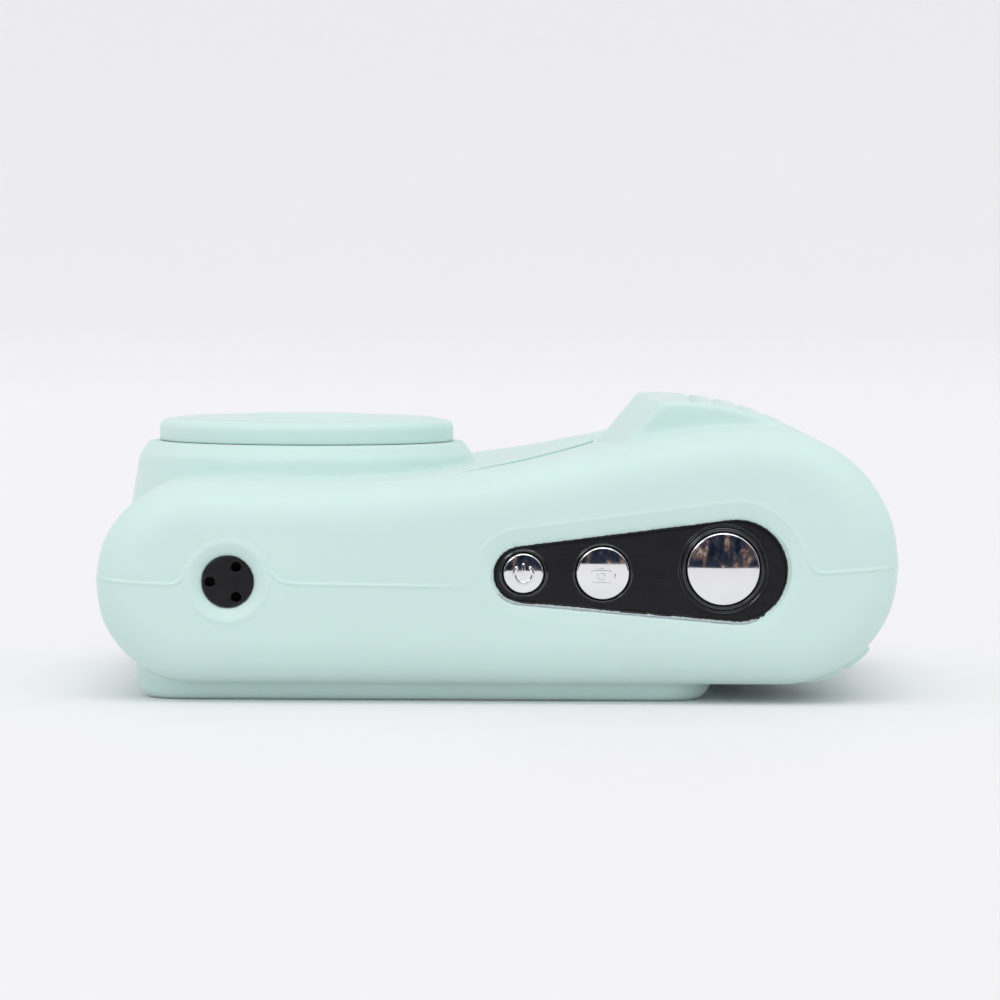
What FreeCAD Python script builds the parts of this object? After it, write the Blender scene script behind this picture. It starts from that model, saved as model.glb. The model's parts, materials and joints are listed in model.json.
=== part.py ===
import FreeCAD, Part
import math
import os
import re

import Sketcher
from FreeCAD import Placement, Rotation, Vector

# A compact digital camera in a silicone sleeve, lying on its back.
# X runs to the right along the camera's top face, Z points the way the lens looks,
# and Y runs from the camera's top face (-Y) to its base (+Y). The origin is in the middle
# of the plane that the rear plate rests on. Everything is in millimetres.

DIMENSIONS = [
    # Outer form of the sleeve
    ("body_width", 114.0),
    ("body_depth", 78.0),
    ("rear_face", 2.6),
    ("left_top", 31.15),
    ("right_top", 39.05),
    ("right_middle", 19.5),
    ("crest_radius", 80.0),
    ("dip_radius", 150.0),
    ("slope_angle", 11.5),
    ("edge_round", 6.5),
    ("sleeve_wall", 2.0),
    ("fit_gap", 0.15),
    ("shell_wall", 1.8),
    ("split_height", 18.0),
    # Round plinth under the lens cap
    ("lens_x", -28.5),
    ("plinth_foot", 20.0),
    ("plinth_foot_radius", 27.1),
    ("plinth_edge", 33.8),
    ("plinth_edge_radius", 24.8),
    ("plinth_top", 35.8),
    ("plinth_top_radius", 23.3),
    # Rear plate round the display
    ("plate_left", -51.8),
    ("plate_right", 31.0),
    ("plate_depth", 64.4),
    ("plate_corner", 8.0),
    ("plate_round", 3.5),
    ("plate_rim", 1.2),
    # Finger grip on the front and thumb rest on the back
    ("grip_top", 43.0),
    ("grip_shoulder_x", 22.3),
    ("grip_near_end", -30.0),
    ("grip_far_end", 27.0),
    ("grip_right", 46.0),
    ("grip_fall", 6.2),
    ("grip_buried", 28.0),
    ("thumb_rise", 0.9),
    ("thumb_near_end", -31.5),
    ("thumb_far_end", -11.5),
    ("thumb_start", -80.0),
    ("thumb_full", -66.0),
    ("thumb_end", -42.5),
    ("thumb_groove", -58.5),
    ("thumb_groove_radius", 0.6),
    # Lens cap
    ("cap_radius", 21.85),
    ("cap_bottom", 36.0),
    ("cap_top", 39.0),
    ("cap_round", 1.3),
    ("cap_disc_radius", 19.4),
    ("cap_disc_top", 39.3),
    ("cap_bore_radius", 19.05),
    ("cap_bore_top", 37.9),
    ("cap_pad_length", 17.5),
    ("cap_pad_width", 8.0),
    ("cap_pad_top", 39.95),
    # Lens surround and optics
    ("ring_radius", 18.75),
    ("ring_bore", 16.9),
    ("ring_top", 37.6),
    ("ring_seat", 33.65),
    ("trim_bore", 7.6),
    ("trim_slope", 11.4),
    ("trim_slope_foot", 10.4),
    ("front_hole_radius", 9.0),
    ("window_radius", 9.2),
    ("window_low", 34.6),
    ("sensor_board_low", 13.0),
    ("sensor_board_top", 14.0),
    ("sensor_board_side", 24.0),
    ("sensor_post_offset", 9.5),
    ("holder_side", 15.0),
    ("barrel_radius", 6.2),
    # Top plate and its three buttons
    ("panel_small_x", 3.4),
    ("panel_small_z", 18.45),
    ("panel_small_radius", 3.95),
    ("panel_large_x", 33.7),
    ("panel_large_z", 19.1),
    ("panel_large_radius", 7.2),
    ("panel_face", -37.6),
    ("panel_step", -36.8),
    ("panel_back", -35.9),
    ("panel_lip", 1.0),
    ("shutter_x", 31.8),
    ("shutter_z", 19.35),
    ("shutter_radius", 5.15),
    ("shutter_crown", -38.35),
    ("shutter_flange", 5.8),
    ("shutter_stem", 1.5),
    ("mode_x", 14.85),
    ("mode_z", 18.65),
    ("mode_radius", 3.76),
    ("mode_crown", -37.95),
    ("mode_flange", 4.3),
    ("mode_stem", 1.3),
    ("power_x", 3.7),
    ("power_z", 18.6),
    ("power_radius", 2.86),
    ("power_crown", -37.95),
    ("power_flange", 3.4),
    ("power_stem", 1.2),
    ("button_gap", 0.14),
    ("flange_front", -35.8),
    ("flange_back", -35.1),
    ("stem_end", -33.2),
    ("plunger_end", -31.9),
    ("plunger_radius", 1.6),
    ("switch_face", -32.2),
    ("switch_back", -28.7),
    ("switch_side", 6.0),
    ("button_board_back", -27.7),
    ("button_board_low", 14.8),
    ("button_board_top", 25.6),
    ("button_screw_z", 22.0),
    # Speaker and its grille
    ("grille_x", -37.9),
    ("grille_z", 17.2),
    ("grille_radius", 3.55),
    ("grille_face", -38.15),
    ("grille_hole_radius", 0.72),
    ("grille_hole_circle", 2.45),
    ("speaker_radius", 6.5),
    # Display
    ("display_x", -10.6),
    ("display_length", 69.0),
    ("display_width", 47.0),
    ("sleeve_window_length", 66.0),
    ("sleeve_window_width", 44.0),
    ("glass_length", 70.0),
    ("glass_width", 48.0),
    # Rear buttons
    ("rear_button_x", 35.8),
    ("rear_button_pitch", 9.5),
    ("rear_button_first", -11.0),
    ("rear_button_radius", 2.6),
    ("rear_button_low", 1.9),
    ("rear_flange_low", 6.7),
    ("rear_flange_top", 7.3),
    ("rear_stem_top", 8.3),
    ("dome_low", 8.9),
    ("rear_board_low", 9.4),
    ("rear_board_top", 10.2),
    # Main board and what it carries
    ("board_left", -9.0),
    ("board_right", 38.0),
    ("board_near", -32.5),
    ("board_far", 34.0),
    ("board_low", 12.0),
    ("board_top", 13.2),
    ("usb_x", 8.0),
    ("usb_z", 14.8),
    ("card_x", 25.0),
    ("card_low", 13.75),
    ("card_thickness", 1.0),
    ("card_end", 36.3),
    # Battery
    ("battery_x", 29.0),
    ("battery_width", 34.0),
    ("battery_length", 46.0),
    ("battery_low", 17.0),
    ("battery_height", 6.3),
    ("battery_near", -21.0),
    # Fasteners
    ("shell_screw_left", -47.5),
    ("shell_screw_right", 44.0),
    ("shell_screw_offset", 31.8),
    ("shell_screw_seat", 9.5),
    ("boss_meet", 13.2),
    ("board_screw_left", -5.0),
    ("board_screw_right", 35.0),
    ("board_screw_offset", 29.8),
    ("tripod_radius", 3.2),
    ("tripod_z", 17.5),
    ("tripod_mouth", 38.8),
    ("tripod_blind", 32.4),
    ("nut_radius", 5.0),
    ("nut_flange_radius", 6.6),
]
ALIASES = {name for name, _ in DIMENSIONS}
TURN_TO_Y = Rotation(Vector(1, 0, 0), -90)  # carries +Z to +Y
REAR_BUTTONS = ("menu_button", "up_button", "ok_button", "down_button")

doc = FreeCAD.newDocument("camera")
sheet = doc.addObject("Spreadsheet::Sheet", "Dimensions")
for row, (name, size) in enumerate(DIMENSIONS, start=1):
    sheet.set(f"A{row}", name)
    sheet.set(f"B{row}", str(size))
    sheet.setAlias(f"B{row}", name)
doc.recompute()
d = {name: float(sheet.get(name)) for name in ALIASES}
sub_parts = []


# ---------------------------------------------------------------- document helpers
def bound(expression):
    """An expression in which each alias points at its cell of the sheet."""
    return re.sub(
        r"[a-z]\w*",
        lambda m: "Dimensions." + m.group() if m.group() in ALIASES else m.group(),
        str(expression),
    )


def keep(obj, label):
    """Marks a document object as one sub-part; its label names its file."""
    obj.Label = label
    sub_parts.append(obj)
    return obj


def place(obj, x=0, y=0, z=0, rotation=None):
    """Binds an object's position to the sheet, and turns it."""
    if rotation is not None:
        obj.Placement = Placement(Vector(0, 0, 0), rotation)
    for axis, expression in zip("xyz", (x, y, z)):
        obj.setExpression(f"Placement.Base.{axis}", bound(expression))
    return obj


def box(name, x, y, z):
    """A block between two bounds along each axis, such as x=("a", "b")."""
    made = doc.addObject("Part::Box", name)
    for side, (low, high) in zip(("Length", "Width", "Height"), (x, y, z)):
        made.setExpression(side, bound(f"({high}) - ({low})"))
    return place(made, x[0], y[0], z[0])


def centred(middle, size):
    """The two bounds of a span of that size about its middle."""
    return (f"({middle}) - ({size}) / 2", f"({middle}) + ({size}) / 2")


def rod(name, x, y, z, radius, along="Z"):
    """A cylinder; the coordinate that it runs along is given as a (low, high) pair."""
    made = doc.addObject("Part::Cylinder", name)
    made.setExpression("Radius", bound(radius))
    low, high = z if along == "Z" else y
    made.setExpression("Height", bound(f"({high}) - ({low})"))
    if along == "Z":
        return place(made, x, y, low)
    return place(made, x, low, z, TURN_TO_Y)


def fuse(name, *shapes):
    made = doc.addObject("Part::MultiFuse", name)
    made.Shapes = list(shapes)
    return made


def cut(name, base, *tools):
    made = doc.addObject("Part::Cut", name)
    made.Base = base
    made.Tool = tools[0] if len(tools) == 1 else fuse(name + "_tools", *tools)
    return made


def group(name, *shapes):
    """Separate solids that share one node."""
    made = doc.addObject("Part::Compound", name)
    made.Links = list(shapes)
    return made


def rounded(name, base, radius, directions):
    """A block's edges that run along the given axes, rounded."""
    doc.recompute()
    made = doc.addObject("Part::Fillet", name)
    made.Base = base
    chosen = []
    for number, edge in enumerate(base.Shape.Edges, start=1):
        run = edge.Vertexes[1].Point - edge.Vertexes[0].Point
        if any(abs(run.normalize().dot(Vector(*axis))) > 0.99 for axis in directions):
            chosen.append((number, radius, radius))
    made.Edges = chosen
    return made


def add_outline(sketch, corners):
    """A closed polygon whose corners are bound to the sheet, each as (across, up)."""
    count = len(corners)
    start = [
        Vector(10 * math.cos(2 * math.pi * i / count), 10 * math.sin(2 * math.pi * i / count), 0)
        for i in range(count)
    ]
    first = sketch.GeometryCount
    for i in range(count):
        sketch.addGeometry(Part.LineSegment(start[i], start[(i + 1) % count]), False)
    for i in range(count):
        after = first + (i + 1) % count
        sketch.addConstraint(Sketcher.Constraint("Coincident", first + i, 2, after, 1))
    for i, corner in enumerate(corners):
        for kind, at, expression in zip(("DistanceX", "DistanceY"), start[i], corner):
            sizing = Sketcher.Constraint(kind, -1, 1, first + i, 1, at)
            index = sketch.addConstraint(sizing)
            sketch.setExpression(f"Constraints[{index}]", bound(expression))


def add_circle(sketch, across, up, radius):
    """A circle whose centre and radius are bound to the sheet."""
    index = sketch.addGeometry(Part.Circle(Vector(1, 1, 0), Vector(0, 0, 1), 1), False)
    for kind, expression in (("DistanceX", across), ("DistanceY", up)):
        number = sketch.addConstraint(Sketcher.Constraint(kind, -1, 1, index, 3, 1.0))
        sketch.setExpression(f"Constraints[{number}]", bound(expression))
    number = sketch.addConstraint(Sketcher.Constraint("Radius", index, 1.0))
    sketch.setExpression(f"Constraints[{number}]", bound(radius))


def new_sketch(body, role):
    """An empty sketch on one of its body's origin planes."""
    sketch = body.newObject("Sketcher::SketchObject", body.Name + "_sketch")
    plane = next(f for f in body.Origin.OriginFeatures if f.Role == role)
    sketch.AttachmentSupport = [(plane, "")]
    sketch.MapMode = "FlatFace"
    return sketch


def turned(name, corners, along="Z"):
    """A body turned about its own Z or Y axis from corners given as (radius, height)."""
    body = doc.addObject("PartDesign::Body", name)
    sketch = new_sketch(body, "XZ_Plane" if along == "Z" else "XY_Plane")
    add_outline(sketch, corners)
    feature = body.newObject("PartDesign::Revolution", name + "_turned")
    feature.Profile = sketch
    feature.ReferenceAxis = (sketch, ["V_Axis"])
    feature.Angle = 360
    return body


def padded(name, role, corners, length, circles=()):
    """A body padded both ways from an outline on one of its planes, with round holes."""
    body = doc.addObject("PartDesign::Body", name)
    sketch = new_sketch(body, role)
    add_outline(sketch, corners)
    for circle in circles:
        add_circle(sketch, *circle)
    feature = body.newObject("PartDesign::Pad", name + "_pad")
    feature.Profile = sketch
    feature.setExpression("Length", bound(length))
    feature.Midplane = True
    return body


def solid_part(label, shape):
    """A sub-part whose shape is worked out by the functions below."""
    made = doc.addObject("Part::Feature", label)
    made.Shape = shape
    return keep(made, label)


# ---------------------------------------------------------------- the camera's form
def polar(centre_x, centre_z, radius, degrees, y=0.0):
    angle = math.radians(degrees)
    return Vector(centre_x + radius * math.cos(angle), y, centre_z + radius * math.sin(angle))


def arc(centre_x, centre_z, radius, start, end, y=0.0):
    middle = (start + end) / 2
    points = [polar(centre_x, centre_z, radius, a, y) for a in (start, middle, end)]
    return Part.Arc(*points).toShape()


def line(a, b):
    return Part.LineSegment(a, b).toShape()


def side_outline(inset, y):
    """The body's outline seen from the camera's top: tangent arcs and lines."""
    half, low = d["body_width"] / 2, d["rear_face"]
    left_radius = (d["left_top"] - low) / 2
    left_x, left_z = left_radius - half, low + left_radius
    lower_radius = d["right_middle"] - low
    upper_radius = d["right_top"] - d["right_middle"]
    lower_x, upper_x = half - lower_radius, half - upper_radius
    slope = math.radians(d["slope_angle"])
    crest, dip = d["crest_radius"], d["dip_radius"]
    drop = d["right_top"] - d["left_top"] - (crest + dip) * (1 - math.cos(slope))
    run = drop / math.tan(slope)
    dip_x = upper_x - (crest + dip) * math.sin(slope) - run
    crest_z, dip_z = d["right_top"] - crest, d["left_top"] + dip
    edges = [
        arc(left_x, left_z, left_radius - inset, 90, 270, y),
        arc(lower_x, d["right_middle"], lower_radius - inset, -90, 0, y),
        arc(upper_x, d["right_middle"], upper_radius - inset, 0, 90, y),
        arc(upper_x, crest_z, crest - inset, 90, 90 + d["slope_angle"], y),
        arc(dip_x, dip_z, dip + inset, -90 + d["slope_angle"], -90, y),
    ]
    low_z = low + inset
    joined = [
        line(Vector(left_x, y, low_z), Vector(lower_x, y, low_z)),
        line(edges[3].Vertexes[-1].Point, edges[4].Vertexes[0].Point),
        line(edges[4].Vertexes[-1].Point, edges[0].Vertexes[0].Point),
    ]
    order = [edges[0], joined[0], edges[1], edges[2], edges[3], joined[1], edges[4], joined[2]]
    return Part.Wire(order)


def rim_edges(shape, y):
    """The edges of a solid that lie in the plane at y."""
    return [
        e
        for e in shape.Edges
        if abs(e.BoundBox.YMin - y) < 1e-4 and abs(e.BoundBox.YMax - y) < 1e-4
    ]


def body_form(inset):
    near = -d["body_depth"] / 2 + inset
    deep = d["body_depth"] - 2 * inset
    form = Part.Face(side_outline(inset, near)).extrude(Vector(0, deep, 0))
    rims = rim_edges(form, near) + rim_edges(form, near + deep)
    return form.makeFillet(d["edge_round"] - inset, rims)


def plinth_form(inset):
    """Tapered round plinth with a bevelled top edge."""
    profile = [
        (0, d["plinth_foot"]),
        (d["plinth_foot_radius"] - inset, d["plinth_foot"]),
        (d["plinth_edge_radius"] - inset, d["plinth_edge"] - inset / 2),
        (d["plinth_top_radius"] - inset / 2, d["plinth_top"] - inset),
        (0, d["plinth_top"] - inset),
    ]
    points = [Vector(d["lens_x"] + r, 0, z) for r, z in profile]
    face = Part.Face(Part.makePolygon(points + points[:1]))
    return face.revolve(Vector(d["lens_x"], 0, 0), Vector(0, 0, 1), 360)


def plate_form(inset):
    """Rear plate: rounded corners, ends that curve up, and a lightly rounded lower rim."""
    left, right = d["plate_left"] + inset, d["plate_right"] - inset
    deep = d["plate_depth"] - 2 * inset
    height = d["plate_round"] + 4.0
    corner = d["plate_corner"] - inset
    end_round = max(d["plate_round"] - inset, 0.5)
    blank = Part.makeBox(right - left, deep, height, Vector(left, -deep / 2, inset))
    upright = [e for e in blank.Edges if e.BoundBox.ZLength > 1]
    ends = [e for e in blank.Edges if e.BoundBox.YLength > 1 and e.BoundBox.ZMax < inset + 1e-4]
    form = blank.makeFillet(corner, upright).common(blank.makeFillet(end_round, ends))
    if inset > 0:
        return form
    beside = deep / 2 - corner - 0.1
    rim = [
        e
        for e in form.Edges
        if e.BoundBox.ZMin < 1e-3
        and e.BoundBox.ZMax < height - 1
        and (e.BoundBox.YMin > beside or e.BoundBox.YMax < -beside)
    ]
    return form.makeFillet(d["plate_rim"], rim)


def grip_section(y, widen, lower, lean, inset):
    """One cross-section of the finger grip: a leaning left side and a curved top."""
    left = d["grip_shoulder_x"] - widen + inset
    top = d["grip_top"] - lower - inset
    buried = d["grip_buried"]
    corner = Vector(left, y, top)
    end = Vector(d["grip_right"] - inset, y, top - d["grip_fall"])
    middle = Vector(left + 0.45 * (end.x - left), y, top - 0.12 * d["grip_fall"])
    base_left = Vector(left - (top - buried) * lean, y, buried)
    base_right = Vector(end.x, y, buried)
    edges = [
        line(base_left, corner),
        Part.Arc(corner, middle, end).toShape(),
        line(end, base_right),
        line(base_right, base_left),
    ]
    return Part.Wire(edges)


def grip_form(inset):
    """Finger grip lofted through four sections: (y, widen, lower, lean) for each."""
    near, far = d["grip_near_end"] + inset, d["grip_far_end"] - inset
    sections = [
        (near, -0.9, 0.5, 0.9),
        (-12.0, 1.2, 0.0, 0.85),
        (10.0, 1.0, 0.3, 0.85),
        (far, -1.5, 2.9, 1.1),
    ]
    wires = [grip_section(*section, inset) for section in sections]
    return Part.makeLoft(wires, True, False)


def thumb_form():
    """Thumb rest: a band on the lower right corner that rises to stand a little proud."""
    radius = d["right_middle"] - d["rear_face"]
    x, z = d["body_width"] / 2 - radius, d["right_middle"]
    y = d["thumb_near_end"]
    start, full, end = d["thumb_start"], d["thumb_full"], d["thumb_end"]
    outer, inner = radius + d["thumb_rise"], radius - 1.5
    foot = polar(x, z, radius + 0.05, start, y)
    midway = polar(x, z, radius + 0.65 * d["thumb_rise"], (start + full) / 2, y)
    edges = [
        Part.Arc(foot, midway, polar(x, z, outer, full, y)).toShape(),
        arc(x, z, outer, full, end, y),
        line(polar(x, z, outer, end, y), polar(x, z, inner, end, y)),
        arc(x, z, inner, end, start, y),
        line(polar(x, z, inner, start, y), foot),
    ]
    deep = d["thumb_far_end"] - d["thumb_near_end"]
    band = Part.Face(Part.Wire(edges)).extrude(Vector(0, deep, 0))
    middle = polar(x, z, outer, d["thumb_groove"])
    groove = peg(middle.x, (y - 1, y + deep + 1), middle.z, d["thumb_groove_radius"], "Y")
    return band.cut(groove)


def camera_form(inset):
    """The camera's closed form, drawn in by inset; inset 0 is the sleeve's outside."""
    parts = [plinth_form(inset), plate_form(inset), grip_form(inset)]
    form = body_form(inset).multiFuse(parts)
    return form.removeSplitter()


def panel_hull(offset, near, far):
    """The top plate's outline, a belt round a small and a large circle, as a block in Y."""
    r1 = d["panel_small_radius"] + offset
    r2 = d["panel_large_radius"] + offset
    dx = d["panel_large_x"] - d["panel_small_x"]
    dz = d["panel_large_z"] - d["panel_small_z"]
    tilt = math.degrees(math.atan2(dz, dx))
    spread = math.degrees(math.acos((r1 - r2) / math.hypot(dx, dz)))
    upper, lower = tilt + spread, tilt - spread
    small = (d["panel_small_x"], d["panel_small_z"], r1)
    large = (d["panel_large_x"], d["panel_large_z"], r2)
    edges = [
        arc(*small, upper, lower + 360, near),
        line(polar(*small, lower, near), polar(*large, lower, near)),
        arc(*large, lower, upper, near),
        line(polar(*large, upper, near), polar(*small, upper, near)),
    ]
    return Part.Face(Part.Wire(edges)).extrude(Vector(0, far - near, 0))


def block(x, y, z):
    """A plain block between bounds, for the parts that are worked out here."""
    return Part.makeBox(x[1] - x[0], y[1] - y[0], z[1] - z[0], Vector(x[0], y[0], z[0]))


def peg(x, y, z, radius, along="Z"):
    """A cylinder; the coordinate that it runs along is given as a (low, high) pair."""
    low, high = z if along == "Z" else y
    start = Vector(x, y, low) if along == "Z" else Vector(x, low, z)
    way = Vector(0, 0, 1) if along == "Z" else Vector(0, 1, 0)
    return Part.makeCylinder(radius, high - low, start, way)


def about(middle, size):
    return (middle - size / 2, middle + size / 2)


def rear_button_ys():
    return [
        d["rear_button_first"] + i * d["rear_button_pitch"] for i in range(len(REAR_BUTTONS))
    ]


def shell_screw_places():
    return [
        (x, side * d["shell_screw_offset"])
        for x in (d["shell_screw_left"], d["shell_screw_right"])
        for side in (-1, 1)
    ]


def board_screw_places():
    return [
        (x, side * d["board_screw_offset"])
        for x in (d["board_screw_left"], d["board_screw_right"])
        for side in (-1, 1)
    ]


def rear_board_screw_places():
    ys = rear_button_ys()
    return [(d["rear_button_x"], ys[0] - 6.5), (d["rear_button_x"], ys[-1] + 6.5)]


BOTTOM_WALL = (34.0, 40.0)
TOP_WALL = (-40.0, -34.0)


def card_middle():
    return d["card_low"] + d["card_thickness"] / 2


def silicone_sleeve(outer):
    inner = camera_form(d["sleeve_wall"])
    half = d["body_depth"] / 2
    window = block(
        about(d["display_x"], d["sleeve_window_length"]),
        about(0, d["sleeve_window_width"]),
        (-1.0, 8.0),
    )
    window = window.makeFillet(3.0, [e for e in window.Edges if e.BoundBox.ZLength > 1])
    openings = [
        panel_hull(0, -half - 1, TOP_WALL[1]),
        peg(d["grille_x"], TOP_WALL, d["grille_z"], d["grille_radius"] + 0.11, "Y"),
        peg(d["lens_x"], 0, (28.0, 40.0), d["ring_radius"] + 0.1),
        window,
        peg(d["lens_x"], BOTTOM_WALL, d["tripod_z"], d["nut_radius"] + 0.2, "Y"),
        block(about(d["usb_x"], 12.4), BOTTOM_WALL, about(d["usb_z"], 6.6)),
        block(about(d["card_x"], 14.6), BOTTOM_WALL, about(card_middle(), 5.4)),
    ]
    for y in rear_button_ys():
        openings.append(peg(d["rear_button_x"], y, (-1.0, 6.0), d["rear_button_radius"] + 0.3))
    return outer.fuse(thumb_form()).cut(inner).cut(Part.makeCompound(openings))


def shells():
    """The black front and rear shells that the sleeve is stretched over."""
    start = d["sleeve_wall"] + d["fit_gap"]
    outer = camera_form(start)
    inner = camera_form(start + d["shell_wall"])
    hollow = outer.cut(inner)
    middle, reach = d["split_height"], 70.0
    upper = block((-reach, reach), (-reach, reach), (middle, reach))
    lower = block((-reach, reach), (-reach, reach), (-reach, middle))
    shared = [
        panel_hull(d["panel_lip"] + 0.1, TOP_WALL[0], d["panel_back"] + 0.05),
        panel_hull(-0.3, TOP_WALL[0], TOP_WALL[1]),
        peg(d["grille_x"], TOP_WALL, d["grille_z"], 3.25, "Y"),
        peg(d["lens_x"], BOTTOM_WALL, d["tripod_z"], d["nut_radius"] + 0.1, "Y"),
    ]
    front = hollow.common(upper).cut(Part.makeCompound(shared))
    rear = hollow.common(lower).cut(Part.makeCompound(shared))
    return front_shell(front, outer), rear_shell(rear, outer)


def front_shell(shell, outer):
    """Adds the lens surround, the screw bosses and the posts to the front half."""
    posts = []
    for x, y in shell_screw_places():
        boss = peg(x, y, (d["boss_meet"] + 0.1, 40.0), 2.8)
        posts.append(boss.cut(peg(x, y, (0.0, 24.0), 1.0)))
    offset = d["sensor_post_offset"]
    for x in (-offset, offset):
        for y in (-offset, offset):
            post = peg(d["lens_x"] + x, y, (d["sensor_board_top"], 33.0), 1.9)
            posts.append(post.cut(peg(d["lens_x"] + x, y, (0.0, 20.0), 0.7)))
    for x in button_board_screw_xs():
        post = block(about(x, 5.0), (d["button_board_back"], -22.4), (19.5, 40.0))
        posts.append(post.cut(peg(x, (-40.0, -23.5), d["button_screw_z"], 0.7, "Y")))
    ring = peg(d["lens_x"], 0, (31.5, d["ring_top"]), d["ring_radius"])
    ring = ring.cut(peg(d["lens_x"], 0, (d["ring_seat"], 40.0), d["ring_bore"]))
    posts = Part.makeCompound(posts).common(outer)
    whole = shell.fuse([ring] + posts.Solids)
    return whole.cut(peg(d["lens_x"], 0, (10.0, 40.0), d["front_hole_radius"])).removeSplitter()


def rear_shell(shell, outer):
    """Adds the bosses and cuts the display pocket and the button and port openings."""
    added, removed = [], []
    floor = d["rear_face"] + d["sleeve_wall"] + d["fit_gap"]
    for x, y in shell_screw_places():
        added.append(peg(x, y, (floor, d["boss_meet"]), 3.6))
        removed.append(peg(x, y, (0.0, 20.0), 1.3))
        removed.append(peg(x, y, (0.0, d["shell_screw_seat"]), 2.6))
    for x, y in board_screw_places():
        added.append(peg(x, y, (floor + 1, d["board_low"]), 2.4))
        removed.append(peg(x, y, (7.0, 20.0), 0.8))
    for x, y in rear_board_screw_places():
        added.append(peg(x, y, (floor + 1, d["rear_board_low"]), 2.2))
        removed.append(peg(x, y, (7.0, 20.0), 0.7))
    pocket_x = about(d["display_x"], d["glass_length"] + 2 * d["fit_gap"])
    pocket_y = about(0, d["glass_width"] + 2 * d["fit_gap"])
    removed.append(block(pocket_x, pocket_y, (1.0, 3.45)))
    removed.append(block(about(d["display_x"], 61.0), about(0, 43.0), (1.0, 5.0)))
    for y in rear_button_ys():
        removed.append(peg(d["rear_button_x"], y, (1.0, 8.0), d["rear_button_radius"] + 0.14))
    removed.append(block(about(d["usb_x"], 9.5), BOTTOM_WALL, about(d["usb_z"], 3.7)))
    removed.append(block(about(d["card_x"], 12.4), BOTTOM_WALL, about(card_middle(), 2.0)))
    posts = Part.makeCompound(added).common(outer)
    return shell.fuse(posts.Solids).cut(Part.makeCompound(removed)).removeSplitter()


def button_board_screw_xs():
    return (-2.5, 39.0)


# ---------------------------------------------------------------- lens cap
def build_lens_cap():
    """Push-on silicone cap with a raised disc and a plain pad to pull it by."""
    shoulder = "cap_radius - cap_round"
    cap = turned(
        "cap_body",
        [
            ("cap_bore_radius", "cap_bottom"),
            ("cap_radius", "cap_bottom"),
            ("cap_radius", "cap_top - cap_round"),
            ("cap_radius - cap_round * 0.29", "cap_top - cap_round * 0.29"),
            (shoulder, "cap_top"),
            ("cap_disc_radius", "cap_top"),
            ("cap_disc_radius - 0.3", "cap_disc_top"),
            ("0", "cap_disc_top"),
            ("0", "cap_bore_top"),
            ("cap_bore_radius", "cap_bore_top"),
        ],
    )
    place(cap, x="lens_x")
    span = "(cap_pad_length - cap_pad_width) / 2"
    heights = ("cap_disc_top - 0.2", "cap_pad_top")
    middle = box("pad_middle", (f"lens_x - {span}", f"lens_x + {span}"),
                 centred(0, "cap_pad_width"), heights)
    ends = [
        rod(f"pad_end_{i}", f"lens_x {sign} {span}", 0, heights, "cap_pad_width / 2")
        for i, sign in enumerate("-+")
    ]
    keep(fuse("lens_cap", cap, middle, *ends), "lens_cap")


# ---------------------------------------------------------------- top plate and buttons
def build_top_plate():
    face = panel_hull(-0.1, d["panel_face"], d["panel_step"])
    lip = panel_hull(d["panel_lip"], d["panel_step"], d["panel_back"])
    plate = face.fuse(lip)
    rings = (("shutter", 1.15, 0.75), ("mode", 0.6, 0.25), ("power", 0.55, 0.25))
    for name, width, height in rings:
        x, z, radius = (d[f"{name}_{what}"] for what in ("x", "z", "radius"))
        radius += d["button_gap"]
        collar = peg(x, (d["panel_face"] - height, d["panel_step"]), z, radius + width, "Y")
        hole = peg(x, TOP_WALL, z, radius, "Y")
        plate = plate.fuse(collar.common(panel_hull(-0.1, -45, d["panel_back"]))).cut(hole)
    solid_part("top_plate", plate.removeSplitter())


def build_button(name):
    """A chromed cap with a domed face, a flange that holds it in, and a stem."""
    radius, crown, flange, stem = (
        f"{name}_{what}" for what in ("radius", "crown", "flange", "stem")
    )
    body = turned(
        f"{name}_button",
        [
            ("0", f"{crown} - 0.55"),
            (f"{radius} * 0.55", f"{crown} - 0.38"),
            (f"{radius} - 0.45", crown),
            (radius, f"{crown} + 0.45"),
            (radius, "flange_front"),
            (flange, "flange_front"),
            (flange, "flange_back"),
            (stem, "flange_back"),
            (stem, "stem_end"),
            ("0", "stem_end"),
        ],
        along="Y",
    )
    keep(place(body, x=f"{name}_x", z=f"{name}_z"), f"{name}_button")
    plunger = rod(f"{name}_plunger", f"{name}_x", ("stem_end", "plunger_end"), f"{name}_z",
                  "plunger_radius", "Y")
    keep(plunger, f"{name}_plunger")


def build_switches():
    """Three tactile switches on the button board, with a well for each plunger."""
    made = []
    for name in ("shutter", "mode", "power"):
        side = "switch_side" if name == "shutter" else "switch_side - 1.5"
        case = box(f"{name}_case", centred(f"{name}_x", side), ("switch_face", "switch_back"),
                   centred(f"{name}_z", side))
        well = rod(f"{name}_well", f"{name}_x", ("switch_face - 1", "switch_face + 1.4"),
                   f"{name}_z", "plunger_radius + 0.12", "Y")
        made.append(cut(f"{name}_switch", case, well))
    keep(group("top_switches", *made), "top_switches")
    board = box("button_board_blank", (-6, 43), ("switch_back", "button_board_back"),
                ("button_board_low", "button_board_top"))
    holes = [
        rod(f"button_board_hole_{i}", x, ("switch_back - 1", "button_board_back + 1"),
            "button_screw_z", 0.8, "Y")
        for i, x in enumerate(button_board_screw_xs())
    ]
    keep(cut("button_board", board, *holes), "button_board")


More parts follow.
